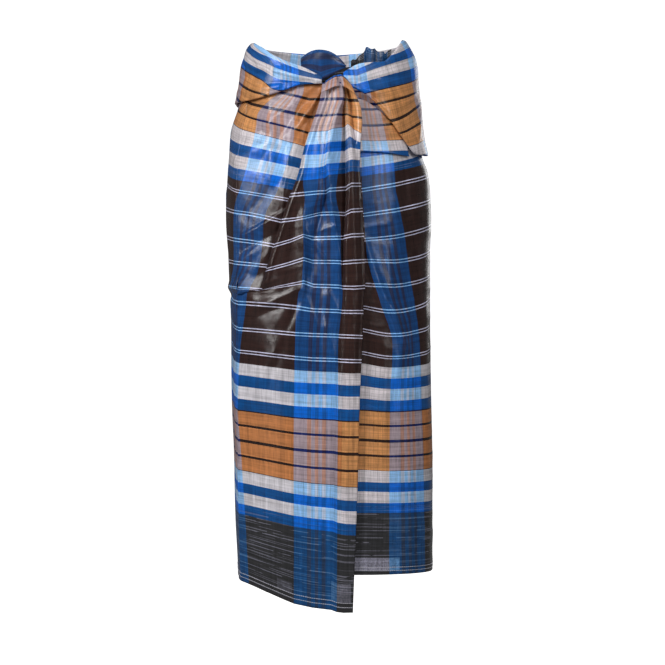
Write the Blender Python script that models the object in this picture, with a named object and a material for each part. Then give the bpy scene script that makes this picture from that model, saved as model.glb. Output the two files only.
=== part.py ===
"""A checked cotton longyi, worn: one sewn tube drawn round the hips, lapped over at the front
and knotted at the waist.  Metres, +Z up, the front towards -Y, the origin at waist height."""
import math

import bpy
import numpy as np

WALL = 0.0015          # cloth with its starch and doubled threads
SEAM = 0.0012          # space between two stretches that meet at a crease
TURN = 0.0020          # radius of a folded edge, to the middle of the cloth
ROUND = 0.165          # metres of cloth to a radian round the hips
CORNER_PROUD = 0.007   # how far the pressed left crease stands out
CORNER_WIDE = 0.045    # and how far to each side of it the cloth is lifted
RIM_OFF = 0.0050       # how far off the body the waist stretches lie at their rim
LIP_OFF = 0.0045       # and the inner layer of their turned-under lip
HIP_LIP_OFF = 0.0070   # the same on the right hip, which lies over the fan
TUCKED_IN = 0.045      # longest turn down inside a rim
TURNED_UP = 0.026      # longest turn up under a lip
BACK_START = 0.1       # degrees round where the back stretch begins, at the wearer's side
LEFT_TOP = -0.024      # the left hip's top and bottom
LEFT_LOW = -0.361
UNDER_LAP = 0.010      # how far the left hip runs in under the over panel
UNDER_TOP = -0.106     # the under panel's top and hem
UNDER_HEM = -0.827
FREE_HIGH = -0.352     # below this the over panel lies out to the left crease

# The body of the tube, a row per height: half widths to the left and right as seen from the
# front, half depths, and how square the section is.
BODY = (
    # height   left    right   front   back    square
    (0.070, 0.121, 0.116, 0.094, 0.094, 2.30),
    (0.055, 0.127, 0.121, 0.096, 0.096, 2.30),
    (0.040, 0.137, 0.129, 0.098, 0.098, 2.30),
    (0.020, 0.142, 0.137, 0.101, 0.101, 2.30),
    (-0.025, 0.147, 0.139, 0.105, 0.108, 2.35),
    (-0.060, 0.156, 0.141, 0.110, 0.119, 2.40),
    (-0.100, 0.168, 0.145, 0.116, 0.133, 2.45),
    (-0.140, 0.171, 0.153, 0.121, 0.142, 2.50),
    (-0.165, 0.173, 0.162, 0.123, 0.146, 2.52),
    (-0.200, 0.174, 0.166, 0.125, 0.147, 2.55),
    (-0.240, 0.174, 0.168, 0.127, 0.146, 2.60),
    (-0.300, 0.172, 0.166, 0.128, 0.142, 2.65),
    (-0.400, 0.168, 0.166, 0.129, 0.137, 2.75),
    (-0.550, 0.166, 0.168, 0.130, 0.134, 2.85),
    (-0.650, 0.162, 0.170, 0.131, 0.133, 2.90),
    (-0.740, 0.160, 0.170, 0.132, 0.132, 2.95),
    (-0.835, 0.156, 0.170, 0.133, 0.130, 3.00),
    (-0.900, 0.155, 0.170, 0.133, 0.129, 3.00),
)

# The corner crease down the left of the front: how far out from the middle, a row per height.
CREASE = (
    # height   across
    (-0.020, -0.132),
    (-0.100, -0.146),
    (-0.240, -0.150),
    (-0.360, -0.147),
    (-0.450, -0.145),
    (-0.640, -0.145),
    (-0.790, -0.142),
    (-0.850, -0.140),
)

# The over panel hangs from the knot.  A row per height gives where its nine lines run across
# the front, and how far each stands off the body.
OVER_LINES = 9
OVER = (
    # height, across: left edge, slack, first fold, hollow, ridge, valley, shine, pinch, right
    (-0.030, -0.012, -0.005, 0.002, 0.009, 0.015, 0.018, 0.021, 0.024, 0.028),
    (-0.055, -0.017, -0.008, 0.001, 0.009, 0.017, 0.021, 0.025, 0.030, 0.038),
    (-0.104, -0.033, -0.024, -0.014, -0.005, 0.004, 0.021, 0.028, 0.036, 0.045),
    (-0.153, -0.046, -0.033, -0.019, -0.011, -0.005, 0.022, 0.032, 0.038, 0.045),
    (-0.201, -0.061, -0.041, -0.022, -0.008, -0.002, 0.023, 0.032, 0.039, 0.047),
    (-0.243, -0.076, -0.056, -0.041, -0.020, 0.004, 0.021, 0.032, 0.041, 0.049),
    (-0.300, -0.093, -0.066, -0.043, -0.031, 0.012, 0.020, 0.033, 0.043, 0.051),
    (-0.352, -0.1075, -0.076, -0.044, -0.028, 0.012, 0.020, 0.035, 0.044, 0.051),
    (-0.367, -0.1465, -0.080, -0.048, -0.028, 0.011, 0.020, 0.035, 0.044, 0.050),
    (-0.440, -0.1455, -0.098, -0.056, -0.030, 0.008, 0.018, 0.032, 0.041, 0.048),
    (-0.540, -0.1455, -0.100, -0.059, -0.030, 0.006, 0.016, 0.028, 0.037, 0.044),
    (-0.640, -0.1450, -0.100, -0.059, -0.030, 0.004, 0.014, 0.025, 0.034, 0.042),
    (-0.740, -0.1425, -0.100, -0.059, -0.030, 0.003, 0.012, 0.023, 0.031, 0.038),
    (-0.842, -0.1400, -0.098, -0.059, -0.030, 0.000, 0.010, 0.020, 0.027, 0.034),
)
# How far the right edge hangs below the height in the row's first column.
OVER_DROP = (
    # height   drop
    (-0.030, 0.000),
    (-0.360, 0.002),
    (-0.540, 0.010),
    (-0.640, 0.016),
    (-0.740, 0.030),
    (-0.842, 0.046),
)
OVER_OFF = (
    # height   off the body, the same nine lines
    (-0.030, 0.0150, 0.0180, 0.0210, 0.0225, 0.0230, 0.0190, 0.0220, 0.0180, 0.0170),
    (-0.055, 0.0145, 0.0170, 0.0200, 0.0215, 0.0220, 0.0150, 0.0180, 0.0160, 0.0180),
    (-0.104, 0.0130, 0.0155, 0.0180, 0.0195, 0.0210, 0.0100, 0.0180, 0.0165, 0.0180),
    (-0.153, 0.0115, 0.0135, 0.0155, 0.0160, 0.0200, 0.0080, 0.0200, 0.0175, 0.0160),
    (-0.201, 0.0105, 0.0120, 0.0145, 0.0120, 0.0190, 0.0075, 0.0195, 0.0170, 0.0140),
    (-0.243, 0.0100, 0.0100, 0.0140, 0.0090, 0.0165, 0.0080, 0.0185, 0.0155, 0.0120),
    (-0.300, 0.0090, 0.0090, 0.0135, 0.0085, 0.0140, 0.0095, 0.0170, 0.0140, 0.0110),
    (-0.352, 0.0080, 0.0095, 0.0130, 0.0090, 0.0130, 0.0100, 0.0155, 0.0130, 0.0105),
    (-0.369, 0.0020, 0.0100, 0.0125, 0.0100, 0.0125, 0.0110, 0.0140, 0.0125, 0.0100),
    (-0.440, 0.0020, 0.0080, 0.0110, 0.0100, 0.0115, 0.0105, 0.0120, 0.0110, 0.0095),
    (-0.640, 0.0020, 0.0070, 0.0100, 0.0095, 0.0100, 0.0095, 0.0102, 0.0098, 0.0090),
    (-0.850, 0.0020, 0.0070, 0.0095, 0.0090, 0.0095, 0.0090, 0.0095, 0.0090, 0.0085),
)

# The back stretch's top and hem, from its start (0) round the back to the left crease (1).
BACK_TOP = (
    # share  height
    (0.00, -0.106),
    (0.25, -0.098),
    (0.50, -0.070),
    (0.80, -0.028),
    (1.00, -0.024),
)
BACK_HEM = (
    # share  height
    (0.0, -0.828),
    (0.4, -0.830),
    (0.8, -0.835),
    (1.0, -0.841),
)
# Where the under panel's hidden edge runs behind the over panel.
UNDER_EDGE = (
    # height   across
    (-0.850, -0.030),
    (-0.110, -0.010),
)
# The fan of pleats right of the knot, from the over panel's edge (0) out to the hip (1).
FAN = (
    # share  top     bottom
    (0.0, -0.036, -0.137),
    (0.5, -0.066, -0.139),
    (1.0, -0.118, -0.144),
)

# The knot's strap runs over its crest: the crest's height along it, and the way over.
KNOT_ACROSS = (-0.0070, 0.0260)
KNOT_CREST = (
    # share  height
    (0.00, -0.0195),
    (0.18, -0.0165),
    (0.45, -0.0135),
    (0.62, -0.0128),
    (0.80, -0.0160),
    (1.00, -0.0195),
)
KNOT_WAY = (
    # off the body, below the crest
    (-0.0040, 0.014),
    (-0.0030, 0.006),
    (0.0020, 0.001),
    (0.0120, 0.000),
    (0.0200, 0.002),
    (0.0245, 0.007),
    (0.0265, 0.012),
)
# The tucked loop stands up inside the waist: up its back, over and down its front.
LOOP_MIDDLE, LOOP_HALF = -0.013, 0.038
LOOP_WAY = (
    # off the body, share of its height
    (-0.0160, 0.25),
    (-0.0150, 0.70),
    (-0.0120, 0.96),
    (-0.0095, 1.00),
    (-0.0072, 0.95),
    (-0.0068, 0.65),
    (-0.0080, 0.30),
    (-0.0090, 0.00),
)
# The tucked end, crumpled, right of the loop.
END_START, END_LONG = 0.034, 0.070
END_BELOW = 0.04       # how far it reaches down inside
END_CREST = (
    # share  height
    (0.00, 0.012),
    (0.20, 0.020),
    (0.42, 0.036),
    (0.62, 0.033),
    (0.85, 0.028),
    (1.00, 0.034),
)
END_WAY = (
    # off the body, share of its height
    (-0.0120, -0.70),
    (-0.0125, -0.30),
    (-0.0120, 0.10),
    (-0.0110, 0.50),
    (-0.0100, 0.80),
    (-0.0090, 1.00),
)

# Waist stretches: a row per place round the body, in degrees, seen from above: 0 is +X,
# 90 the back, 180 the left as seen from the front, 270 the front.
WAIST_LEFT = (
    # round    rim     lip
    (175.0, 0.0520, -0.0500),
    (195.0, 0.0490, -0.0510),
    (208.0, 0.0400, -0.0500),
    (220.0, 0.0250, -0.0450),
    (232.0, 0.0120, -0.0370),
    (245.0, 0.0020, -0.0280),
    (262.0, -0.0150, -0.0265),
)
WAIST_BACK = (
    (5.0, 0.0550, -0.1360),
    (40.0, 0.0500, -0.1250),
    (90.0, 0.0440, -0.0950),
    (140.0, 0.0480, -0.0620),
    (174.7, 0.0520, -0.0500),
)
HIP_RIGHT = (
    (286.0, -0.0050, -0.0300),
    (295.0, 0.0040, -0.0400),
    (304.0, 0.0070, -0.0560),
    (314.0, 0.0120, -0.0850),
    (323.0, 0.0260, -0.1180),
    (331.0, 0.0400, -0.1400),
    (345.0, 0.0540, -0.1390),
    (364.7, 0.0550, -0.1360),
)

# Soft folds, a row each: from and to (round in degrees, height), how wide, how proud.
BACK_FOLDS = (
    (168.0, -0.16, 158.0, -0.60, 0.016, 0.0030),
    (140.0, -0.20, 132.0, -0.78, 0.022, -0.0035),
    (112.0, -0.24, 110.0, -0.80, 0.020, 0.0035),
    (84.0, -0.22, 82.0, -0.82, 0.024, -0.0040),
    (58.0, -0.25, 56.0, -0.78, 0.020, 0.0035),
    (34.0, -0.22, 30.0, -0.76, 0.022, -0.0030),
    (150.0, -0.12, 60.0, -0.17, 0.018, 0.0025),
    (193.0, -0.42, 192.0, -0.84, 0.018, -0.0020),
)
HIP_FOLDS = (
    (203.0, -0.07, 236.0, -0.13, 0.010, -0.0030),
    (205.0, -0.15, 244.0, -0.10, 0.012, 0.0030),
    (214.0, -0.24, 240.0, -0.17, 0.014, -0.0030),
    (212.0, -0.32, 232.0, -0.26, 0.012, 0.0030),
)
UNDER_FOLDS = (
    (293.0, -0.28, 305.0, -0.38, 0.007, 0.0025),
    (305.0, -0.38, 319.0, -0.46, 0.007, 0.0030),
    (322.0, -0.18, 325.0, -0.46, 0.018, -0.0025),
    (311.0, -0.52, 310.0, -0.82, 0.016, -0.0020),
    (335.0, -0.40, 336.0, -0.82, 0.020, 0.0025),
)
OVER_FOLDS = (
    (228.0, -0.40, 246.0, -0.38, 0.012, -0.0030),
    (246.0, -0.50, 247.0, -0.80, 0.018, -0.0020),
    (266.0, -0.38, 268.0, -0.60, 0.014, 0.0025),
    (233.0, -0.45, 240.0, -0.60, 0.016, 0.0020),
)

COLOURS = {
    "back_wrap": (0.050, 0.030, 0.026), "left_hip": (0.140, 0.090, 0.060),
    "front_under": (0.050, 0.030, 0.026), "front_over": (0.030, 0.080, 0.300),
    "fan_right": (0.500, 0.230, 0.090), "waist_left": (0.050, 0.120, 0.360),
    "waist_back": (0.300, 0.250, 0.240), "hip_right": (0.500, 0.230, 0.090),
    "knot": (0.500, 0.230, 0.090), "tuck_loop": (0.040, 0.090, 0.280),
    "tuck_end": (0.030, 0.030, 0.035),
}


def through(places, values, x):
    """A smooth line through a table's rows that never swings past them."""
    places, values = np.asarray(places, float), np.asarray(values, float)
    order = np.argsort(places)
    places, values = places[order], values[order]
    x = np.clip(np.asarray(x, float), places[0], places[-1])
    step = np.diff(places)
    rise = np.diff(values) / step
    slope = np.empty_like(values)
    slope[0], slope[-1] = rise[0], rise[-1]
    before, after = rise[:-1], rise[1:]
    total = np.where(before * after > 0, before + after, 1.0)
    slope[1:-1] = np.where(before * after > 0, 2 * before * after / total, 0.0)
    i = np.clip(np.searchsorted(places, x, side="right") - 1, 0, len(places) - 2)
    t = (x - places[i]) / step[i]
    return (
        values[i] * (1 + 2 * t) * (1 - t) ** 2
        + values[i + 1] * t * t * (3 - 2 * t)
        + step[i] * (slope[i] * t * (1 - t) ** 2 - slope[i + 1] * t * t * (1 - t))
    )


def column(table, name_at):
    return [row[name_at] for row in table]


def line(table, x, k=1):
    return through(column(table, 0), column(table, k), x)


def body_at(height):
    return [line(BODY, height, k) for k in range(1, 6)]


def spot(round_, height, off):
    """The place on the body at an angle and a height, moved off it."""
    left, right, front, back, square = body_at(height)
    c, s = np.cos(round_), np.sin(round_)
    a, b = np.where(c > 0, right, left), np.where(s > 0, back, front)
    r = (np.abs(c / a) ** square + np.abs(s / b) ** square) ** (-1 / square)
    x, y = r * c, r * s
    nx = np.sign(c) * np.abs(x / a) ** (square - 1) / a
    ny = np.sign(s) * np.abs(y / b) ** (square - 1) / b
    length = np.hypot(nx, ny)
    return np.stack([x + off * nx / length, y + off * ny / length, height + 0 * x], -1)


def facing(across, height):
    """The angle of the place on the front that lies this far across."""
    left, right, front, _, square = body_at(height)
    a = np.where(across > 0, right, left)
    deep = (1 - np.minimum(np.abs(across / a), 0.999) ** square) ** (1 / square)
    return np.arctan2(-front * deep, across) % (2 * math.pi)


def crease_round(height):
    return facing(line(CREASE, height), height)


def folds(rows, round_, height):
    off = 0 * round_
    for r0, h0, r1, h1, wide, proud in rows:
        x0, x1 = math.radians(r0) * ROUND, math.radians(r1) * ROUND
        dx, dh = x1 - x0, h1 - h0
        px, ph = round_ * ROUND - x0, height - h0
        t = np.clip((px * dx + ph * dh) / (dx * dx + dh * dh), 0, 1)
        gap = (px - t * dx) ** 2 + (ph - t * dh) ** 2
        off = off + proud * np.exp(-gap / wide ** 2)
    return off


def corner(round_, height):
    """The pressed crease stands proud of the body and is sharp, and dies out at the waist."""
    away = np.abs(round_ - crease_round(height)) * ROUND
    below = np.clip(-height / 0.1 - 0.8, 0, 1)
    return CORNER_PROUD * np.clip(1 - away / CORNER_WIDE, 0, 1) ** 1.6 * below


def thicken(name, grid):
    """A closed wall of cloth round a grid of places, half to each side."""
    rows, cols = grid.shape[:2]
    faces = [(i * cols + j, (i + 1) * cols + j, (i + 1) * cols + j + 1, i * cols + j + 1)
             for i in range(rows - 1) for j in range(cols - 1)]
    mesh = bpy.data.meshes.new(name)
    mesh.from_pydata(grid.reshape(-1, 3).tolist(), [], faces)
    mesh.validate()
    made = bpy.data.objects.new(name, mesh)
    bpy.context.collection.objects.link(made)
    shell = made.modifiers.new("cloth wall", "SOLIDIFY")
    shell.thickness = WALL
    shell.offset = 0.0
    paint = bpy.data.materials.new(name + "_cloth")
    paint.use_nodes = True
    shader = paint.node_tree.nodes["Principled BSDF"]
    shader.inputs["Base Color"].default_value = (*COLOURS[name], 1)
    shader.inputs["Roughness"].default_value = 0.6
    mesh.materials.append(paint)


def mesh_grid(rows, cols):
    return np.meshgrid(np.asarray(rows, float), np.asarray(cols, float), indexing="ij")


def back_wrap():
    r, s = mesh_grid(np.linspace(0, 1, 21), np.linspace(0, 1, 31))
    top, hem = line(BACK_TOP, s), line(BACK_HEM, s)
    height = top + (hem - top) * r
    start = math.radians(BACK_START)
    round_ = start + (crease_round(height) - SEAM / 2 / ROUND - start) * s
    off = folds(BACK_FOLDS, round_, height) + corner(round_, height)
    thicken("back_wrap", spot(round_, height, off))


def left_hip():
    r, s = mesh_grid(np.linspace(0, 1, 14), np.linspace(0, 1, 12))
    height = LEFT_TOP + (LEFT_LOW - LEFT_TOP) * r
    edge = line(OVER, height) + UNDER_LAP
    start = crease_round(height) + SEAM / 2 / ROUND
    round_ = start + (facing(edge, height) - start) * s
    lip = 0.003 * np.clip((r - 0.93) / 0.07, 0, 1) * (1 - s)
    off = folds(HIP_FOLDS, round_, height) * np.clip((1 - s) * 4, 0, 1)
    thicken("left_hip", spot(round_, height, off + lip + corner(round_, height)))


def front_under():
    r, s = mesh_grid(np.linspace(0, 1, 23), np.linspace(0, 1, 15))
    height = UNDER_TOP + (UNDER_HEM - UNDER_TOP) * r
    inner = facing(line(UNDER_EDGE, height), height)
    outer = math.radians(360.0)
    round_ = outer + (inner - outer) * s
    tame = np.clip((1 - s) * 2.2, 0, 1)
    off = folds(UNDER_FOLDS, round_, height) * tame
    thicken("front_under", spot(round_, height, off)[:, ::-1])


def front_over():
    heights = column(OVER, 0)
    rows = np.array([0, 0.07, 0.14, 0.21, 0.28, 0.35, 0.42, 0.47, 0.50, 0.53, 0.55,
                     0.59, 0.65, 0.72, 0.79, 0.86, 0.93, 1.0])
    at = np.linspace(0, 1, len(OVER))
    last_line = OVER_LINES - 1
    r, s = mesh_grid(rows, np.linspace(0, last_line, 2 * last_line + 1))
    high = through(at, heights, r)
    across, off = 0 * s, 0 * s
    for k in range(OVER_LINES):
        near = np.clip(1 - np.abs(s - k), 0, 1)
        across = across + near * line(OVER, high, k + 1)
        off = off + near * line(OVER_OFF, high, k + 1)
    share = (across - across[:, :1]) / (across[:, -1:] - across[:, :1])
    high = high - line(OVER_DROP, high) * share
    round_ = facing(across, high)
    low = np.clip((FREE_HIGH - high) / 0.02, 0, 1)
    pull = crease_round(high) + SEAM / 2 / ROUND - round_[:, :1]
    round_ = round_ + pull * np.clip(1 - s, 0, 1) * (low > 0.7)
    off = off + folds(OVER_FOLDS, round_, high) * low + corner(round_, high) * low
    # the right edge is turned under: steps back along the body, and in towards it
    back = np.array([0.8, 0.0, -1.6, -3.2]) * TURN / ROUND
    sink = np.array([1.0, 2.0, 2.6, 3.0]) * TURN
    round_ = np.concatenate([round_, round_[:, -1:] + back], 1)
    off = np.concatenate([off, off[:, -1:] - sink], 1)
    rise = (high[:, :1] - high[:, -1:]) * np.array([0, 0.0, 0.02, 0.04])
    high = np.concatenate([high, high[:, -1:] + rise], 1)
    thicken("front_over", spot(round_, high, off))


def bent(name, table, cols, low=LIP_OFF):
    """A waist stretch: down inside, over the rim, down in front and turned under at its lip."""
    turns = np.linspace(table[0][0], table[-1][0], cols)
    rim, lip = line(table, turns), line(table, turns, 2)
    tall = rim - lip
    high = low + 2 * TURN
    path = [
        # off the body, height
        (RIM_OFF - 2 * TURN - 0.001, rim - np.minimum(TUCKED_IN, tall * 0.45)),
        (RIM_OFF - 2 * TURN, rim - TURN * 1.4),
        (RIM_OFF - TURN, rim),
        (RIM_OFF, rim - TURN * 1.4),
    ]
    for t in (0.75, 0.5, 0.25):
        bulge = 0.002 * math.sin(math.pi * t)
        path.append((high * (1 - t) + RIM_OFF * t + bulge, lip + tall * t))
    path += [
        (high, lip + TURN * 1.4),
        (low + TURN, lip),
        (low, lip + TURN),
        (low, lip + np.minimum(TURNED_UP, tall * 0.45)),
    ]
    off = np.array([step[0] + 0 * turns for step in path])
    height = np.array([step[1] for step in path])
    round_ = np.repeat(np.radians(turns)[None, :], len(path), 0)
    thicken(name, spot(round_, height, off))


def fan_right():
    r, s = mesh_grid(np.linspace(0, 1, 8), np.linspace(0, 1, 9))
    height = line(FAN, s) + (line(FAN, s, 2) - line(FAN, s)) * r
    start = line(OVER, height, OVER_LINES) - 0.012
    round_ = facing(start, height) * (1 - s) + math.radians(326.0) * s
    off = 0.0045 + 0.0015 * np.sin(s * 9.0) * r * (1 - s)
    thicken("fan_right", spot(round_, height, off))


def knot():
    """The strap of the knot: over its slanted crest and down in front."""
    s = np.linspace(0, 1, 11)
    crest = line(KNOT_CREST, s)
    across = KNOT_ACROSS[0] + (KNOT_ACROSS[1] - KNOT_ACROSS[0]) * s
    crown = 0.0035 * (1 - (2 * s - 1) ** 2)
    seam = np.exp(-((s - 0.5) / 0.1) ** 2)
    rows = []
    for step, (off, below) in enumerate(KNOT_WAY):
        crease = 0.0004 * step * seam
        height = crest - below
        rows.append(spot(facing(across, height), height, off + crown - crease))
    thicken("knot", np.array(rows))


def tuck_loop():
    s = np.linspace(-1, 1, 13)
    across = LOOP_MIDDLE + LOOP_HALF * s
    crest = 0.024 - 0.016 * np.abs(s) ** 2.2 - 0.006 * s
    foot = -0.020 + 0.020 * np.abs(s + 0.1)
    rows = []
    for off, share in LOOP_WAY:
        height = foot + (crest - foot) * share
        rows.append(spot(facing(across, height), height, off + 0.002 * np.sin(s * 3)))
    thicken("tuck_loop", np.array(rows))


def tuck_end():
    s = np.linspace(0, 1, 19)
    across = END_START + END_LONG * s
    crest = line(END_CREST, s)
    rows = []
    for off, share in END_WAY:
        height = np.where(share > 0, crest * share, share * END_BELOW)
        wave = 0.0028 * np.sin(s * 26) * max(share, 0.15)
        rows.append(spot(facing(across, height), height, off + wave))
    thicken("tuck_end", np.array(rows))


for old in list(bpy.data.objects):
    bpy.data.objects.remove(old, do_unlink=True)
back_wrap()
left_hip()
front_under()
front_over()
fan_right()
bent("waist_left", WAIST_LEFT, 14)
bent("waist_back", WAIST_BACK, 20)
bent("hip_right", HIP_RIGHT, 15, HIP_LIP_OFF)
knot()
tuck_loop()
tuck_end()
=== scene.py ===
import math
from functools import partial

import bpy
import numpy as np
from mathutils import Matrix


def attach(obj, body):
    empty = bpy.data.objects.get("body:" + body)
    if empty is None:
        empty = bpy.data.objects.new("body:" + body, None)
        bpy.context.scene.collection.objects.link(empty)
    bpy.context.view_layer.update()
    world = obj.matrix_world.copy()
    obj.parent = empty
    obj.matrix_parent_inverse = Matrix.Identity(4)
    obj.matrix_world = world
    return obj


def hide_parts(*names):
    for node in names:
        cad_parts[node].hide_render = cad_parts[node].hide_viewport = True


# A checked cotton longyi as it hangs from the knot at the waist. Metres, front towards -Y.
# Places round the body are angles seen from above: 0 is +X, 90 the back, 180 the left side
# as seen from the front, and 270 (or -90) the middle of the front.

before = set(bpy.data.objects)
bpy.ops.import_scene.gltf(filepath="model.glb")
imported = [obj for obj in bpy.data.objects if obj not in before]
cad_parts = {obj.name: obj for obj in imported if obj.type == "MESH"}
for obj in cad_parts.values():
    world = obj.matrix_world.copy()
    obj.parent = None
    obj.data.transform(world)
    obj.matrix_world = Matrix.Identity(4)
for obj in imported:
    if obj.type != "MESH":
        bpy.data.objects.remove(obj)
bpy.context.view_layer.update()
print("frame loaded")

cloth = {
    "wall": 0.0009,  # the cloth with its starch
    "step": 0.0028,  # space between the points of a stretch
    "perRadian": 0.165,  # cloth to a radian round the hips
    "turn": 0.0020,  # radius of a folded edge
    "repeat": 0.145,  # from one group of stripes to the next
    "tall": 1.106,  # the whole cloth, hem to hem
}

# half widths to each side, half depths, and how square the section is
bodyRows = (
    # height   left    right   front   back    square
    (0.070, 0.121, 0.116, 0.094, 0.094, 2.30),
    (0.055, 0.127, 0.121, 0.096, 0.096, 2.30),
    (0.040, 0.137, 0.129, 0.098, 0.098, 2.30),
    (0.020, 0.142, 0.137, 0.101, 0.101, 2.30),
    (-0.025, 0.147, 0.139, 0.105, 0.108, 2.35),
    (-0.060, 0.156, 0.141, 0.110, 0.119, 2.40),
    (-0.100, 0.168, 0.145, 0.116, 0.133, 2.45),
    (-0.140, 0.171, 0.153, 0.121, 0.142, 2.50),
    (-0.165, 0.173, 0.162, 0.123, 0.146, 2.52),
    (-0.200, 0.174, 0.166, 0.125, 0.147, 2.55),
    (-0.240, 0.174, 0.168, 0.127, 0.146, 2.60),
    (-0.300, 0.172, 0.166, 0.128, 0.142, 2.65),
    (-0.400, 0.168, 0.166, 0.129, 0.137, 2.75),
    (-0.550, 0.166, 0.168, 0.130, 0.134, 2.85),
    (-0.650, 0.162, 0.170, 0.131, 0.133, 2.90),
    (-0.740, 0.160, 0.170, 0.132, 0.132, 2.95),
    (-0.835, 0.156, 0.170, 0.133, 0.130, 3.00),
    (-0.900, 0.155, 0.170, 0.133, 0.129, 3.00),
)


def through(places, values, x):
    # a smooth line through a table's rows that never swings past them
    places, values = np.asarray(places, float), np.asarray(values, float)
    order = np.argsort(places)
    places, values = places[order], values[order]
    x = np.clip(np.asarray(x, float), places[0], places[-1])
    step = np.diff(places)
    rise = np.diff(values) / step
    slope = np.empty_like(values)
    slope[0], slope[-1] = rise[0], rise[-1]
    before, after = rise[:-1], rise[1:]
    total = np.where(before * after > 0, before + after, 1.0)
    slope[1:-1] = np.where(before * after > 0, 2 * before * after / total, 0.0)
    i = np.clip(np.searchsorted(places, x, side="right") - 1, 0, len(places) - 2)
    t = (x - places[i]) / step[i]
    return (
        values[i] * (1 + 2 * t) * (1 - t) ** 2
        + values[i + 1] * t * t * (3 - 2 * t)
        + step[i] * (slope[i] * t * (1 - t) ** 2 - slope[i + 1] * t * t * (1 - t))
    )


def column(rows, k):
    return [row[k] for row in rows]


def line(rows, x, k=1):
    # a column of a table, read off smoothly at x
    return through(column(rows, 0), column(rows, k), x)


def ramp(x, start, end):
    t = np.clip((x - start) / (end - start), 0, 1)
    return t * t * (3 - 2 * t)


def bodyAt(height):
    return [line(bodyRows, height, k) for k in range(1, 6)]


def spot(around, height, off):
    left, right, front, back, square = bodyAt(height)
    c, s = np.cos(around), np.sin(around)
    a, b = np.where(c > 0, right, left), np.where(s > 0, back, front)
    r = (np.abs(c / a) ** square + np.abs(s / b) ** square) ** (-1 / square)
    x, y = r * c, r * s
    nx = np.sign(c) * np.abs(x / a) ** (square - 1) / a
    ny = np.sign(s) * np.abs(y / b) ** (square - 1) / b
    length = np.hypot(nx, ny)
    return np.stack([x + off * nx / length, y + off * ny / length, height + 0 * x], -1)


def facing(across, height):
    # the angle of the place on the front that lies this far across
    left, right, front, _, square = bodyAt(height)
    a = np.where(across > 0, right, left)
    deep = (1 - np.minimum(np.abs(across / a), 0.999) ** square) ** (1 / square)
    return np.arctan2(-front * deep, across) % (2 * math.pi)


turnsRound = np.radians(np.arange(-100, 281, 1.0))
ringRound = spot(turnsRound, np.full(len(turnsRound), -0.4), 0)
stepsRound = np.linalg.norm(np.diff(ringRound, axis=0), axis=1)
lengthRound = np.concatenate([[0], np.cumsum(stepsRound)])
lengthRound -= np.interp(0, turnsRound, lengthRound)


def roundLength(around):
    # cloth from the right side to this angle, round the back
    return np.interp(around, turnsRound, lengthRound)


def foldsAt(rows, around, height):
    # soft troughs and ridges: from and to (angle, height), how wide, how proud
    off = 0 * around
    for fromAngle, fromHeight, toAngle, toHeight, wide, proud in rows:
        x0 = math.radians(fromAngle) * cloth["perRadian"]
        dx = math.radians(toAngle) * cloth["perRadian"] - x0
        dh = toHeight - fromHeight
        px, ph = around * cloth["perRadian"] - x0, height - fromHeight
        t = np.clip((px * dx + ph * dh) / (dx * dx + dh * dh), 0, 1)
        gap = np.sqrt((px - t * dx) ** 2 + (ph - t * dh) ** 2)
        off = off + proud * np.exp(-((gap / wide) ** 1.6)) * (1 - 0.35 * t)
    return off


def creasesAt(rows, across, height):
    # creases on the front: from and to (across, height), how wide, how proud, and how much
    # of its width falls away sharply: 0 soft on both sides, 1 sharp on its right, -1 its left
    off = 0 * across
    for x0, h0, x1, h1, wide, proud, sharp in rows:
        dx, dh = x1 - x0, h1 - h0
        t = ((across - x0) * dx + (height - h0) * dh) / (dx * dx + dh * dh)
        side = ((across - x0) * dh - (height - h0) * dx) / math.hypot(dx, dh)
        side = side * (1 if dh < 0 else -1)
        beyond = np.maximum(np.maximum(-t, t - 1), 0) * math.hypot(dx, dh)
        right, left = wide * (1 - 0.8 * max(sharp, 0)), wide * (1 - 0.8 * max(-sharp, 0))
        part = np.where(side < 0, -side / right, side / left)
        fade = np.exp(-((beyond / (0.35 * math.hypot(dx, dh))) ** 2))
        off = off + proud * np.exp(-(np.abs(part) ** 1.5)) * fade
    return off


def crumple(across, height, seed, size, deep):
    # small sharp wrinkles in every direction, as starch breaks
    rng = np.random.default_rng(seed)
    total = 0 * across
    for k in range(7):
        turn, phase = rng.uniform(0, 3.14), rng.uniform(0, 6.28)
        wave = size * rng.uniform(0.6, 1.9)
        along = across * math.cos(turn) + height * math.sin(turn)
        beside = across * math.sin(turn) - height * math.cos(turn)
        bend = 0.7 * np.sin(beside * 6.28 / (wave * 2.3) + phase)
        wane = 0.5 + 0.5 * np.sin(along * 2.1 / wave + height * 31 * (k % 3 - 1) + phase)
        total = total + (1 - np.abs(np.sin(along * 3.14 / wave + phase + bend))) ** 2.5 * wane
    return deep * (total / 2.2 - 0.6)


def ripple(around, height, seed, size, deep):
    # low waves that keep a wide stretch from lying dead flat
    rng = np.random.default_rng(seed)
    off = 0 * around
    for _ in range(9):
        turn, phase = rng.uniform(-0.6, 0.6), rng.uniform(0, 6.28)
        wave = size * rng.uniform(0.7, 1.8)
        along = around * cloth["perRadian"] * math.cos(turn) + height * math.sin(turn)
        off = off + deep * np.sin(along * 6.28 / wave + phase + 3 * np.sin(height * 9 + phase))
    return off / 3


def threadHeight(run, level, around):
    # how high one thread of the cloth runs, all along
    return through(np.radians(run["places"]), run["rows"][level][1:], around)


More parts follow.
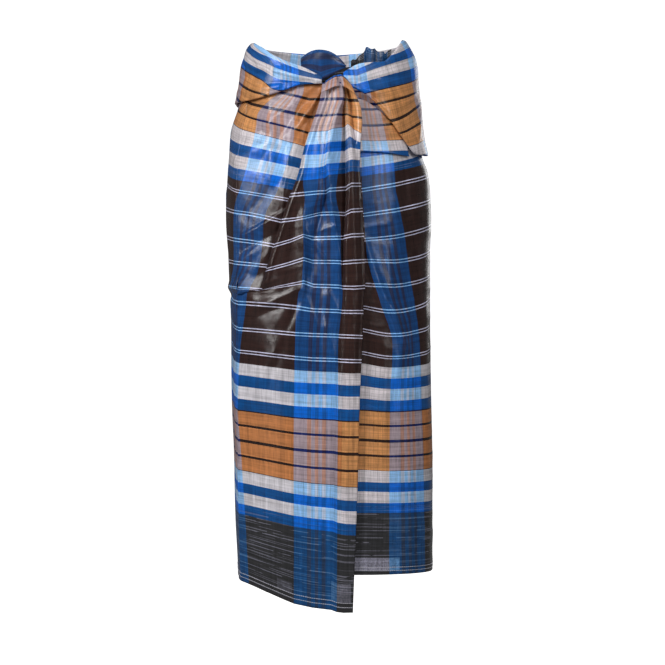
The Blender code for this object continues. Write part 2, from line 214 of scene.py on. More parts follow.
def clothUp(run, around, height):
    # how far up the cloth each place is, from where its threads run
    levels = column(run["rows"], 0)
    highs = [threadHeight(run, k, around) for k in range(len(levels))]
    up = levels[0] + (height - highs[0])
    for k in range(len(levels) - 1):
        a, b = highs[k], highs[k + 1]
        part = levels[k] + (levels[k + 1] - levels[k]) * (height - a) / (b - a)
        rises = b > a
        within = (height > a) if rises.all() else (height < a)
        up = np.where(within, part, up)
    return up


def clothRound(marks, around, height):
    # how far round the cloth each place is, from where its stripes run
    cuts = marks["cuts"]
    ats = [roundLength(np.radians(line(marks["rows"], height, k + 1))) for k in range(len(cuts))]
    here = roundLength(around)
    out = cuts[0] + (here - ats[0])
    for k in range(len(cuts) - 1):
        part = cuts[k] + (cuts[k + 1] - cuts[k]) * (here - ats[k]) / (ats[k + 1] - ats[k])
        out = np.where(here > ats[k], part, out)
    return np.where(here > ats[-1], cuts[-1] + here - ats[-1], out)


def gridOf(rows, cols):
    return np.meshgrid(np.asarray(rows, float), np.asarray(cols, float), indexing="ij")


def newPiece(name, points, edges, faces):
    mesh = bpy.data.meshes.new(name)
    mesh.from_pydata(points, edges, faces)
    mesh.update()
    mesh.polygons.foreach_set("use_smooth", [True] * len(mesh.polygons))
    piece = bpy.data.objects.new(name, mesh)
    bpy.context.collection.objects.link(piece)
    return piece


def makeStretch(name, places, clothPlaces):
    # a stretch of cloth from a grid of places, each knowing its place in the flat cloth
    rows, cols = places.shape[:2]
    faces = [(i * cols + j, (i + 1) * cols + j, (i + 1) * cols + j + 1, i * cols + j + 1)
             for i in range(rows - 1) for j in range(cols - 1)]
    piece = newPiece(name, places.reshape(-1, 3).tolist(), [], faces)
    mesh = piece.data
    layer = mesh.uv_layers.new(name="clothPlace")
    corners = np.empty(len(mesh.loops), dtype=np.int32)
    mesh.loops.foreach_get("vertex_index", corners)
    layer.uv.foreach_set("vector", clothPlaces.reshape(-1, 2)[corners].astype(np.float32).ravel())
    shell = piece.modifiers.new("clothWall", "SOLIDIFY")
    shell.thickness = cloth["wall"]
    shell.offset = 0
    return piece


# the checks: colours and measures of the woven cloth

checks = {
    # the woven bands in the order they come, going up: name and how deep
    "bands": (
        ("blue", 0.0183), ("white", 0.0203), ("blue", 0.0172), ("white", 0.0212),
        ("line", 0.0016), ("tan", 0.0232), ("black", 0.0045), ("tan", 0.0226),
        ("black", 0.0055), ("tan", 0.0222), ("black", 0.0040), ("tan", 0.0226),
        ("line", 0.0022), ("blue", 0.0180), ("white", 0.0210), ("blue", 0.0180),
        ("white", 0.0203),
    ),
    "lowBands": 0.125,  # where the lower set starts, up from the hem
    "highBands": 0.7165,  # where the upper set starts
    "upperFrom": 0.55,  # above this a place belongs to the upper set
    # yarn colours on the dark ground, on the golden ground and on the blue stripes
    "blue": ((0, 72, 134), (10, 80, 148), (0, 104, 214)),
    "white": ((204, 200, 206), (212, 204, 208), (150, 198, 246)),
    "tan": ((188, 121, 72), (206, 143, 88), (170, 152, 160)),
    "black": ((34, 20, 16), (44, 26, 18), (24, 38, 96)),
    "line": ((30, 16, 14), (36, 20, 16), (20, 30, 76)),
    "brown": ((46, 27, 24), (50, 30, 26), (18, 68, 126)),
    "charcoal": ((44, 44, 46), (47, 47, 49), (16, 70, 122)),
    "whiteLine": ((206, 206, 232), (208, 206, 230), (142, 198, 252)),
    # a group of stripes: from and to, in metres, blue in between
    "stripes": ((0.0, 0.0207), (0.0272, 0.0332), (0.0386, 0.0446), (0.0506, 0.0694)),
    "betweenStripes": 0.42,  # how blue the ground is between them
    "golden": (0.0764, 0.1450),  # the golden ground of every other gap
    "fieldLines": (0.408, 0.041, 0.0024, 0.0008),  # first, spacing, half gap, half width
    "hemLines": (0.0118, 0.0036, 0.0007, 0.35),  # middle, half gap, half width, how pale
    # rubbed places beside the hem: round from and to, up from and to, how pale
    "rubbed": (
        (-0.790, -0.708, 0.0080, 0.0345, 0.34), (-0.026, -0.003, 0.0150, 0.0320, 0.06),
        (0.060, 0.092, 0.0160, 0.0460, 0.13),
    ),
    "speckle": (330.0, 260.0, 1),
}
slubs = {
    # noise drawn out along the weft, the patches it comes in, and the least of each that shows
    "long": (4.0, 420.0, 1),
    "patchy": (30.0, 150.0, 1),
    "least": 0.54,
    "patchLeast": 0.44,
    "gain": 12.0,
    "pale": 0.22,
    "lowBlue": (0.004, 0.0143, 0.6),  # in the lowest blue band: from, to, how strong
    "clear": 0.02,  # none nearer the hem than this
}
yarns = {
    "pitch": 0.0011,  # two yarns
    "grain": 0.5,
    "thick": 1.6,
    "uneven": ((560.0, 34.0, 2), (150.0, 3.0, 1)),  # noise across and along a yarn, and its detail
    "panes": (0.0073, 0.0077),  # space between doubled yarns
    "doubled": 0.0009,
}


def linear(colour):
    c = np.asarray(colour, float) / 255
    low, high = c / 12.92, ((c + 0.055) / 1.055) ** 2.4
    return (*np.where(c < 0.04045, low, high), 1.0)


def newGroup(name, takes, gives):
    tree = bpy.data.node_groups.new(name, "ShaderNodeTree")
    for label, kind in takes:
        tree.interface.new_socket(label, in_out="INPUT", socket_type=kind)
    for label, kind in gives:
        tree.interface.new_socket(label, in_out="OUTPUT", socket_type=kind)
    return tree, tree.nodes.new("NodeGroupInput"), tree.nodes.new("NodeGroupOutput")


def plug(tree, value, socket):
    if isinstance(value, (int, float, tuple)):
        socket.default_value = value
    else:
        tree.links.new(value, socket)


def maths(tree, what, a, b=0.0, c=None):
    node = tree.nodes.new("ShaderNodeMath")
    node.operation = what
    plug(tree, a, node.inputs[0])
    plug(tree, b, node.inputs[1])
    if c is not None:
        plug(tree, c, node.inputs[2])
    return node.outputs[0]


def mixed(tree, factor, a, b, how="MIX"):
    node = tree.nodes.new("ShaderNodeMix")
    node.data_type = "RGBA"
    node.blend_type = how
    plug(tree, factor, node.inputs["Factor"])
    plug(tree, a, node.inputs["A"])
    plug(tree, b, node.inputs["B"])
    return node.outputs["Result"]


def product(tree, *factors):
    total = factors[0]
    for factor in factors[1:]:
        total = maths(tree, "MULTIPLY", total, factor)
    return total


def apart(tree, place):
    # how far round the cloth, and how far up
    node = tree.nodes.new("ShaderNodeSeparateXYZ")
    tree.links.new(place, node.inputs[0])
    return node.outputs[0], node.outputs[1]


def bumped(tree, height, strength, distance, below=None):
    node = tree.nodes.new("ShaderNodeBump")
    node.inputs["Strength"].default_value = strength
    node.inputs["Distance"].default_value = distance
    tree.links.new(height, node.inputs["Height"])
    if below is not None:
        tree.links.new(below, node.inputs["Normal"])
    return node.outputs[0]


def between(tree, x, low, high):
    return maths(tree, "MULTIPLY", maths(tree, "GREATER_THAN", x, low),
                 maths(tree, "LESS_THAN", x, high))


def clothNoise(tree, place, stretch, detail):
    # noise in the plane of the cloth, drawn out along one set of threads
    node = tree.nodes.new("ShaderNodeVectorMath")
    node.operation = "MULTIPLY"
    tree.links.new(place, node.inputs[0])
    node.inputs[1].default_value = stretch
    noise = tree.nodes.new("ShaderNodeTexNoise")
    noise.inputs["Scale"].default_value = 1.0
    noise.inputs["Detail"].default_value = detail
    tree.links.new(node.outputs[0], noise.inputs["Vector"])
    return noise.outputs["Fac"]


def bandRamp(tree, at, which):
    # the band set as a row of flat colours
    node = tree.nodes.new("ShaderNodeValToRGB")
    node.color_ramp.interpolation = "CONSTANT"
    whole = sum(deep for _, deep in checks["bands"])
    stops = node.color_ramp.elements
    stops.remove(stops[1])
    start = 0.0
    for k, (name, deep) in enumerate(checks["bands"]):
        stop = stops[0] if k == 0 else stops.new(start / whole)
        stop.position = start / whole
        stop.color = linear(checks[name][which])
        start += deep
    tree.links.new(maths(tree, "DIVIDE", at, whole), node.inputs[0])
    return node.outputs["Color"]


def checkedYarns():
    tree, given, result = newGroup(
        "checkedYarns",
        [("Cloth Place", "NodeSocketVector")],
        [("Color", "NodeSocketColor"), ("Panes", "NodeSocketFloat")],
    )
    sums, mix, inside, times, noise = (
        partial(make, tree) for make in (maths, mixed, between, product, clothNoise))
    place = given.outputs["Cloth Place"]
    u, v = apart(tree, place)
    v = sums("PINGPONG", sums("ABSOLUTE", v), cloth["tall"])
    fromHem = sums("MINIMUM", v, sums("SUBTRACT", cloth["tall"], v))
    # which set of bands, and how far up in it
    low, high = checks["lowBands"], checks["highBands"]
    wholeBands = sum(deep for _, deep in checks["bands"])
    upper = sums("GREATER_THAN", v, checks["upperFrom"])
    inBands = sums("SUBTRACT", v, sums("MULTIPLY_ADD", upper, high - low, low))
    banded = inside(inBands, 0.0, wholeBands)
    field = inside(v, low + wholeBands, high)
    # the pairs of white lines across the brown field, and the pair beside each hem
    first, spacing, halfGap, halfWide = checks["fieldLines"]
    phase = sums("FLOORED_MODULO", sums("SUBTRACT", v, first - spacing / 2), spacing)
    away = sums("ABSOLUTE", sums("SUBTRACT", phase, spacing / 2))
    lines = times(field, sums("COMPARE", away, halfGap, halfWide))
    middle, halfGap, halfWide, pale = checks["hemLines"]
    away = sums("ABSOLUTE", sums("SUBTRACT", fromHem, middle))
    hemPair = times(sums("COMPARE", away, halfGap, halfWide), pale)
    # thick and thin weft: pale picks in the charcoal
    pick = sums("MAXIMUM", sums("SUBTRACT", noise(place, slubs["long"], 2), slubs["least"]), 0.0)
    pick = sums("SMOOTH_MIN", times(pick, slubs["gain"]), 1.0, 0.1)
    patch = sums("GREATER_THAN", noise(place, slubs["patchy"], 2), slubs["patchLeast"])
    plain = sums("SUBTRACT", 1.0, sums("MAXIMUM", field, banded))
    start, end, share = slubs["lowBlue"]
    plain = sums("MAXIMUM", plain, times(inside(inBands, start, end), share))
    picks = times(pick, patch, plain, sums("GREATER_THAN", fromHem, slubs["clear"]), slubs["pale"])
    rubbed = 0.0
    for start, end, bottom, top, pale in checks["rubbed"]:
        rubbed = sums("ADD", times(inside(u, start, end), inside(v, bottom, top), pale), rubbed)
    rubbed = times(rubbed, noise(place, checks["speckle"], 2), 2.0)
    # stripes round the tube
    turn = sums("FLOORED_MODULO", u, cloth["repeat"])
    group = sums("LESS_THAN", turn, checks["stripes"][-1][1])
    stripe = 0.0
    for start, end in checks["stripes"]:
        stripe = sums("MAXIMUM", inside(turn, start, end), stripe)
    golden = inside(sums("FLOORED_MODULO", u, 2 * cloth["repeat"]), *checks["golden"])
    shades = []
    for which in range(3):
        colour = mix(banded, linear(checks["charcoal"][which]), bandRamp(tree, inBands, which))
        colour = mix(field, colour, linear(checks["brown"][which]))
        for amount in (lines, hemPair, picks, rubbed):
            colour = mix(amount, colour, linear(checks["whiteLine"][which]))
        shades.append(colour)
    colour = mix(golden, shades[0], shades[1])
    inGroup = mix(stripe, mix(checks["betweenStripes"], shades[0], shades[2]), shades[2])
    tree.links.new(mix(group, colour, inGroup), result.inputs["Color"])
    tree.links.new(sums("MAXIMUM", golden, times(group, 0.5)), result.inputs["Panes"])
    return tree


def plainWeave():
    # single yarns: thick and thin places, and the fine grain of over and under
    tree, given, result = newGroup(
        "plainWeave",
        [("Cloth Place", "NodeSocketVector"), ("Unevenness", "NodeSocketFloat")],
        [("Shade", "NodeSocketFloat"), ("Height", "NodeSocketFloat")],
    )
    place = given.outputs["Cloth Place"]
    total = 0.0
    for close, far, detail in yarns["uneven"]:
        for stretch in ((close, far, 1), (far, close, 1)):
            total = maths(tree, "ADD", clothNoise(tree, place, stretch, detail), total)
    centred = maths(tree, "MULTIPLY_ADD", total, 0.5, -1.0)
    shade = maths(tree, "MULTIPLY_ADD", centred, given.outputs["Unevenness"], 1.0)
    tree.links.new(shade, result.inputs["Shade"])
    waves = [maths(tree, "SINE", maths(tree, "MULTIPLY", way, 6.283 / yarns["pitch"]))
             for way in apart(tree, place)]
    height = maths(tree, "MULTIPLY_ADD", centred, yarns["thick"], product(tree, *waves, yarns["grain"]))
    tree.links.new(height, result.inputs["Height"])
    return tree


def windowLines():
    # the faint pane of doubled yarns
    tree, given, result = newGroup(
        "windowLines", [("Cloth Place", "NodeSocketVector")], [("Mask", "NodeSocketFloat")])
    masks = [maths(tree, "LESS_THAN", maths(tree, "FLOORED_MODULO", way, space), yarns["doubled"])
             for way, space in zip(apart(tree, given.outputs["Cloth Place"]), yarns["panes"])]
    tree.links.new(maths(tree, "MAXIMUM", *masks), result.inputs["Mask"])
    return tree


def newPaint(name):
    paint = bpy.data.materials.new(name)
    paint.use_nodes = True
    return paint, paint.node_tree, paint.node_tree.nodes["Principled BSDF"]


polish = {
    # the polish of the calender lies in patches: their size, and how much and how little
    # roughness they leave
    "patches": (9.0, 5.0, 1),
    "wander": 0.22,
    "least": 0.14,
    "specular": 0.42,
    "sheen": 0.06,
    "sheenRough": 0.5,
    "unevenness": 1.6,  # of the yarns' shade
    "panes": (0.20, 0.04),  # how dark doubled yarns are on the golden ground, and elsewhere
    "paneShade": (0.01, 0.01, 0.014, 1),
    # bumps: how strong and how high, for the creases that starch leaves and for the weave
    "creases": (26.0, 13.0, 1),
    "creaseBump": (0.22, 0.004),
    "weaveBump": (0.3, 0.00015),
}


def polishedCotton():
    paint, tree, shader = newPaint("longyiCotton")
    flat = tree.nodes.new("ShaderNodeUVMap")
    flat.uv_map = "clothPlace"
    place = flat.outputs[0]
    nodes = []
    for group in (checkedYarns(), plainWeave(), windowLines()):
        nodes.append(tree.nodes.new("ShaderNodeGroup"))
        nodes[-1].node_tree = group
        tree.links.new(place, nodes[-1].inputs["Cloth Place"])
    check, weave, panes = nodes
    weave.inputs["Unevenness"].default_value = polish["unevenness"]
    shaded = mixed(tree, 1.0, check.outputs["Color"], weave.outputs["Shade"], "MULTIPLY")
    dark = maths(tree, "MULTIPLY_ADD", check.outputs["Panes"], *polish["panes"])
    dark = maths(tree, "MULTIPLY", panes.outputs["Mask"], dark)
    tree.links.new(mixed(tree, dark, shaded, polish["paneShade"]), shader.inputs["Base Color"])
    patches = clothNoise(tree, place, polish["patches"], 3)
    rough = maths(tree, "MULTIPLY_ADD", patches, polish["wander"], polish["least"])
    tree.links.new(rough, shader.inputs["Roughness"])
    shader.inputs["Specular IOR Level"].default_value = polish["specular"]
    shader.inputs["Sheen Weight"].default_value = polish["sheen"]
    shader.inputs["Sheen Roughness"].default_value = polish["sheenRough"]
    creases = clothNoise(tree, place, polish["creases"], 4)
    low = bumped(tree, creases, *polish["creaseBump"])
    fine = bumped(tree, weave.outputs["Height"], *polish["weaveBump"], low)
    tree.links.new(fine, shader.inputs["Normal"])
    return paint


longyiCotton = polishedCotton()
# the twin rows of machine stitches that hold the hem

stitching = {
    "rows": (0.0084, 0.0152),  # up from the hem's edge
    "pitch": 0.0036,  # from one stitch to the next
    "length": 0.0031,
    "width": 0.0010,
    "sunk": 0.0001,  # how far the thread's middle stands off the cloth
    "seed": 7,
    "uneven": (0.88, 1.10),  # shortest and longest, as shares
    "twist": (900.0, 900.0, 900.0),
    "thread": ((150, 148, 158), (226, 224, 230)),
    "roughness": 0.55,
    "bump": (0.4, 0.0002),
}


def hemThreadPaint():
    paint, tree, shader = newPaint("hemThread")
    place = tree.nodes.new("ShaderNodeTexCoord").outputs["Object"]
    twist = clothNoise(tree, place, stitching["twist"], 2)
    shade = mixed(tree, twist, *map(linear, stitching["thread"]))
    tree.links.new(shade, shader.inputs["Base Color"])
    shader.inputs["Roughness"].default_value = stitching["roughness"]
    tree.links.new(bumped(tree, twist, *stitching["bump"]), shader.inputs["Normal"])
    return paint


def stitchesAlong():
    # plump stitches, one to a pitch, along every line of the mesh that comes in
    tree = bpy.data.node_groups.new("stitchesAlong", "GeometryNodeTree")
    tree.interface.new_socket("Line", in_out="INPUT", socket_type="NodeSocketGeometry")
    for name in ("Pitch", "Length", "Width"):
        tree.interface.new_socket(name, in_out="INPUT", socket_type="NodeSocketFloat")
    tree.interface.new_socket("Seed", in_out="INPUT", socket_type="NodeSocketInt")
    tree.interface.new_socket("Thread", in_out="INPUT", socket_type="NodeSocketMaterial")
    tree.interface.new_socket("Stitches", in_out="OUTPUT", socket_type="NodeSocketGeometry")
    given = tree.nodes.new("NodeGroupInput")
    result = tree.nodes.new("NodeGroupOutput")
    curve = tree.nodes.new("GeometryNodeMeshToCurve")
    points = tree.nodes.new("GeometryNodeCurveToPoints")
    points.mode = "LENGTH"
    grain = tree.nodes.new("GeometryNodeMeshUVSphere")
    grain.inputs["Segments"].default_value = 6
    grain.inputs["Rings"].default_value = 5
    grain.inputs["Radius"].default_value = 0.5
    size = tree.nodes.new("ShaderNodeCombineXYZ")
    uneven = tree.nodes.new("FunctionNodeRandomValue")
    uneven.inputs[2].default_value = 0.88
    uneven.inputs[3].default_value = 1.10
    along = tree.nodes.new("ShaderNodeMath")
    along.operation = "MULTIPLY"
    setOut = tree.nodes.new("GeometryNodeInstanceOnPoints")
    real = tree.nodes.new("GeometryNodeRealizeInstances")
    painted = tree.nodes.new("GeometryNodeSetMaterial")
    for start, end in (
        (given.outputs["Line"], curve.inputs[0]),
        (curve.outputs[0], points.inputs["Curve"]),
        (given.outputs["Pitch"], points.inputs["Length"]),
        (given.outputs["Seed"], uneven.inputs["Seed"]),
        (given.outputs["Length"], along.inputs[0]),
        (uneven.outputs[1], along.inputs[1]),
        (given.outputs["Width"], size.inputs[0]),
        (given.outputs["Width"], size.inputs[1]),
        (along.outputs[0], size.inputs[2]),
        (points.outputs["Points"], setOut.inputs["Points"]),
        (points.outputs["Rotation"], setOut.inputs["Rotation"]),
        (grain.outputs["Mesh"], setOut.inputs["Instance"]),
        (size.outputs[0], setOut.inputs["Scale"]),
        (setOut.outputs[0], real.inputs[0]),
        (real.outputs[0], painted.inputs["Geometry"]),
        (given.outputs["Thread"], painted.inputs["Material"]),
        (painted.outputs[0], result.inputs[0]),
    ):
        tree.links.new(start, end)
    return tree


stitchTree, hemThread = stitchesAlong(), hemThreadPaint()


def sewHem(name, around, height, off, v):
    # follow two threads of the cloth, one for each row, and set the stitches along them
    points, edges = [], []
    for level in stitching["rows"]:
        way = np.array([[np.interp(level, v[::-1, j], grid[::-1, j]) for grid in (around, height, off)]
                        for j in range(v.shape[1])])
        edges += [(len(points) + k, len(points) + k + 1) for k in range(len(way) - 1)]
        points += spot(way[:, 0], way[:, 1], way[:, 2] + cloth["wall"] / 2 + stitching["sunk"]).tolist()
    guide = newPiece(name + "Line", points, edges, [])
    nodes = guide.modifiers.new("stitches", "NODES")
    nodes.node_group = stitchTree
    wanted = {"Pitch": stitching["pitch"], "Length": stitching["length"], "Width": stitching["width"],
              "Seed": stitching["seed"], "Thread": hemThread}
    for socket in stitchTree.interface.items_tree:
        if socket.in_out == "INPUT" and socket.name in wanted:
            nodes[socket.identifier] = wanted[socket.name]
    seen = guide.evaluated_get(bpy.context.evaluated_depsgraph_get())
    sewn = bpy.data.objects.new(name, bpy.data.meshes.new_from_object(seen))
    bpy.data.objects.remove(guide, do_unlink=True)
    bpy.context.collection.objects.link(sewn)
    sewn.data.polygons.foreach_set("use_smooth", [True] * len(sewn.data.polygons))
    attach(sewn, "root")
    return sewn


print("cloth finish made")

# where the threads and the stripes run

wrapThreads = {
    # angle of each place round the body
    "places": (-68, -50, 0, 90, 180, 211, 252),
    # up the cloth, then the height of that thread at each place
    "rows": (
        (0.8755, -0.062, -0.060, -0.019, -0.016, -0.014, -0.030, -0.052),
        (0.8485, -0.085, -0.083, -0.039, -0.040, -0.037, -0.058, -0.081),
        (0.8215, -0.108, -0.104, -0.066, -0.066, -0.059, -0.080, -0.107),
        (0.7950, -0.128, -0.122, -0.090, -0.095, -0.080, -0.102, -0.131),
        (0.7550, -0.148, -0.142, -0.118, -0.128, -0.128, -0.145, -0.169),
        (0.7165, -0.1787, -0.171, -0.150, -0.158, -0.168, -0.184, -0.206),
        (0.6950, -0.2015, -0.1935, -0.170, -0.178, -0.1835, -0.202, -0.2226),
        (0.6540, -0.242, -0.235, -0.212, -0.219, -0.2255, -0.236, -0.262),
        (0.6130, -0.2827, -0.278, -0.2534, -0.260, -0.2726, -0.282, -0.302),
        (0.5720, -0.316, -0.317, -0.296, -0.302, -0.311, -0.319, -0.3325),
        (0.5310, -0.355, -0.3567, -0.336, -0.342, -0.355, -0.361, -0.370),
        (0.5070, -0.377, -0.380, -0.359, -0.364, -0.362, -0.367, -0.379),
        (0.4900, -0.3916, -0.399, -0.375, -0.380, -0.3725, -0.3846, -0.395),
        (0.4490, -0.429, -0.437, -0.4187, -0.420, -0.4103, -0.4273, -0.436),
        (0.4080, -0.4663, -0.474, -0.459, -0.460, -0.4473, -0.464, -0.475),
        (0.3867, -0.484, -0.491, -0.481, -0.480, -0.469, -0.484, -0.495),
        (0.3100, -0.559, -0.562, -0.5556, -0.553, -0.543, -0.560, -0.570),
        (0.2020, -0.6574, -0.660, -0.657, -0.655, -0.646, -0.6595, -0.670),
        (0.1250, -0.726, -0.727, -0.728, -0.728, -0.715, -0.730, -0.740),
        (0.0000, -0.8266, -0.8275, -0.828, -0.830, -0.835, -0.8405, -0.850),
    ),
}
wrapStripes = {
    "cuts": (-0.710, -0.1444, -0.075),  # at the right side, and the left group's two edges
    "rows": (
        (-0.042, 0, 227, 247), (-0.076, 0, 215, 241.5), (-0.110, 0, 216, 242.5),
        (-0.153, 0, 214, 239), (-0.200, 0, 210, 233.5), (-0.242, 0, 205.4, 226.3),
        (-0.315, 0, 205, 224), (-0.380, 0, 192, 216.5), (-0.453, 0, 188.6, 212.7),
        (-0.543, 0, 187, 211.5), (-0.790, 0, 191, 215),
    ),
}
underStripes = {
    "cuts": (-0.725, -0.6556, -0.565),  # the right group's two edges, and the right side
    # height, then how far across each edge is
    "rows": (
        (-0.201, 0.051, 0.106), (-0.299, 0.057, 0.126), (-0.380, 0.079, 0.137),
        (-0.453, 0.100, 0.1455), (-0.543, 0.0965, 0.148), (-0.791, 0.095, 0.1537),
    ),
}
hipThreads = {
    "places": (-68, -50, -20, 0),
    "rows": (
        (0.7300, -0.178, -0.196, -0.178, -0.178),
        (0.7680, -0.140, -0.158, -0.142, -0.1365),
        (0.7950, -0.118, -0.134, -0.117, -0.1046),
        (0.8215, -0.095, -0.110, -0.086, -0.066),
        (0.8485, -0.080, -0.088, -0.060, -0.039),
        (0.8755, -0.0666, -0.0568, -0.036, -0.019),
        (0.9030, -0.0446, -0.034, -0.015, 0.0013),
        (0.9210, -0.0268, -0.0146, 0.006, 0.021),
        (0.9420, -0.013, 0.0017, 0.024, 0.038),
        (0.9600, -0.003, 0.013, 0.038, 0.050),
        (0.9810, 0.009, 0.027, 0.052, 0.064),
    ),
}
hipStripes = {
    "cuts": (-0.0056, 0.069, 0.145),
    "rows": ((-0.140, -84, -56, -16), (-0.060, -84, -58, -20), (0.020, -84, -62, -24)),
}
fanThreads = {
    "places": (-80, -60, -34),
    "rows": (
        (0.7400, -0.164, -0.164, -0.160), (0.7730, -0.136, -0.137, -0.134),
        (0.7950, -0.1195, -0.1205, -0.116), (0.8215, -0.094, -0.095, -0.088),
        (0.8485, -0.066, -0.068, -0.060), (0.9030, -0.030, -0.034, -0.030),
    ),
}
fanStripes = {
    "cuts": (0.0, 0.0694),
    "rows": ((-0.150, -66, -48), (-0.060, -69, -52)),
}
leftThreads = {
    "places": (170, 180, 214, 228.5, 244, 262),
    "rows": (
        (0.8300, -0.055, -0.054, -0.085, -0.090, -0.095, -0.100),
        (0.8485, -0.038, -0.037, -0.0645, -0.070, -0.075, -0.080),
        (0.8755, -0.014, -0.0135, -0.039, -0.049, -0.055, -0.055),
        (0.9030, 0.014, 0.0147, -0.0145, -0.0357, -0.0324, -0.030),
        (0.9210, 0.027, 0.028, 0.000, -0.0178, -0.0227, -0.026),
        (0.9420, 0.041, 0.0416, 0.013, -0.0016, -0.013, -0.020),
        (0.9600, 0.051, 0.0517, 0.0244, 0.0098, -0.0032, -0.015),
        (0.9810, 0.062, 0.062, 0.035, 0.020, 0.006, -0.010),
    ),
}
leftStripes = {
    "cuts": (-0.1444, -0.075),
    "rows": ((-0.060, 222, 246), (0.000, 224, 242), (0.060, 190, 206)),
}
backThreads = {
    "places": (0, 90, 180),
    "rows": (
        (0.7300, -0.178, -0.164, -0.155), (0.7680, -0.1365, -0.122, -0.112),
        (0.7950, -0.1046, -0.095, -0.084), (0.8215, -0.066, -0.064, -0.060),
        (0.8485, -0.039, -0.038, -0.037), (0.8755, -0.019, -0.016, -0.0135),
        (0.9030, 0.0013, 0.006, 0.0147), (0.9210, 0.021, 0.022, 0.028),
        (0.9420, 0.038, 0.035, 0.0416), (0.9600, 0.050, 0.046, 0.0517),
        (0.9810, 0.064, 0.060, 0.062),
    ),
}
backStripes = {
    "cuts": (-0.725, -0.1444),
    "rows": ((-0.150, 0, 205), (0.070, 0, 200)),
}
creaseRows = (
    # height, across
    (-0.020, -0.132), (-0.100, -0.146), (-0.240, -0.150), (-0.360, -0.147),
    (-0.450, -0.145), (-0.640, -0.145), (-0.790, -0.142), (-0.850, -0.140),
)
backFolds = (
    (168, -0.16, 158, -0.60, 0.016, 0.0030), (140, -0.20, 132, -0.78, 0.022, -0.0035),
    (112, -0.24, 110, -0.80, 0.020, 0.0035), (84, -0.22, 82, -0.82, 0.024, -0.0040),
    (58, -0.25, 56, -0.78, 0.020, 0.0035), (34, -0.22, 30, -0.76, 0.022, -0.0030),
    (150, -0.12, 60, -0.17, 0.018, 0.0025), (193, -0.42, 192, -0.84, 0.018, -0.0020),
    (176, -0.20, 200, -0.34, 0.010, 0.0020), (18, -0.18, 60, -0.24, 0.012, 0.0020),
)
hipCreases = (
    # from and to (across, height), wide, proud, sharp side
    (-0.0820, -0.238, -0.1330, -0.268, 0.0080, 0.0030, -1),
    (-0.0800, -0.262, -0.1290, -0.292, 0.0080, -0.0030, 0),
    (-0.0140, -0.036, -0.0370, -0.074, 0.0110, 0.0050, 1),
    (-0.0370, -0.074, -0.0500, -0.096, 0.0110, 0.0040, 1),
    (-0.0240, -0.028, -0.0950, -0.085, 0.0080, 0.0028, 0),
    (-0.0300, -0.040, -0.0900, -0.120, 0.0070, -0.0026, 0),
    (-0.0610, -0.085, -0.0790, -0.244, 0.0045, 0.0018, 1),
    (-0.0450, -0.100, -0.0690, -0.170, 0.0060, 0.0022, 0),
    (-0.1000, -0.060, -0.0980, -0.170, 0.0080, 0.0020, 0),
    (-0.0900, -0.290, -0.1350, -0.345, 0.0080, 0.0022, 0),
)
underCreases = (
    (0.0530, -0.283, 0.0740, -0.352, 0.0130, 0.0042, -1),
    (0.0740, -0.352, 0.0980, -0.402, 0.0130, 0.0042, -1),
    (0.0980, -0.402, 0.1190, -0.452, 0.0120, 0.0036, -1),
    (0.0560, -0.262, 0.0860, -0.256, 0.0050, 0.0024, 0),
    (0.0600, -0.278, 0.0900, -0.282, 0.0050, -0.0018, 0),
    (0.0950, -0.330, 0.1080, -0.470, 0.0080, 0.0020, 0),
    (0.1230, -0.190, 0.1260, -0.330, 0.0120, -0.0018, 0),
    (0.0880, -0.480, 0.0860, -0.600, 0.0080, 0.0018, 0),
    (0.0620, -0.500, 0.0740, -0.640, 0.0110, -0.0020, 0),
    (0.1300, -0.400, 0.1000, -0.520, 0.0080, 0.0018, 0),
)
hipFolds = (
    (203, -0.07, 236, -0.13, 0.010, -0.0030), (205, -0.15, 244, -0.10, 0.012, 0.0030),
    (214, -0.24, 240, -0.17, 0.014, -0.0030), (212, -0.32, 232, -0.26, 0.012, 0.0030),
)
underFolds = (
    (-67, -0.28, -55, -0.38, 0.006, 0.0028), (-55, -0.38, -41, -0.46, 0.006, 0.0032),
    (-38, -0.18, -35, -0.46, 0.018, -0.0025), (-49, -0.52, -50, -0.82, 0.016, -0.0020),
    (-25, -0.40, -24, -0.82, 0.020, 0.0025),
)
overFolds = (
    (228, -0.40, 246, -0.38, 0.010, -0.0030), (246, -0.50, 247, -0.80, 0.018, -0.0020),
    (266, -0.38, 268, -0.60, 0.014, 0.0025), (233, -0.45, 240, -0.60, 0.016, 0.0020),
)


pressed = {
    "proud": 0.007,  # how far the left crease stands out
    "wide": 0.045,  # and how far to each side the cloth is lifted
}


def creaseRound(height):
    return facing(line(creaseRows, height), height)


def corner(around, height):
    away = np.abs(around - creaseRound(height)) * cloth["perRadian"]
    below = np.clip(-height / 0.1 - 0.8, 0, 1)
    return pressed["proud"] * np.clip(1 - away / pressed["wide"], 0, 1) ** 1.6 * below


def steps(metres):
    return max(4, int(metres / cloth["step"]) + 1)


def spread(tall, wide):
    # shares down and along a stretch, a point to each step of cloth
    return gridOf(np.linspace(0, 1, steps(tall)), np.linspace(0, 1, steps(wide)))


def layCloth(made, around, height, off, u, v):
    piece = makeStretch(made["name"], spot(around, height, off), np.stack([u, v], -1))
    sewn = []
    if "stitches" in made:
        shown = made.get("hemFrom", slice(None))
        sewn = [sewHem(made["stitches"], *(grid[:, shown] for grid in (around, height, off, v)))]
    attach(piece, "root")
    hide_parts(made["node"])
    piece.data.materials.append(longyiCotton)


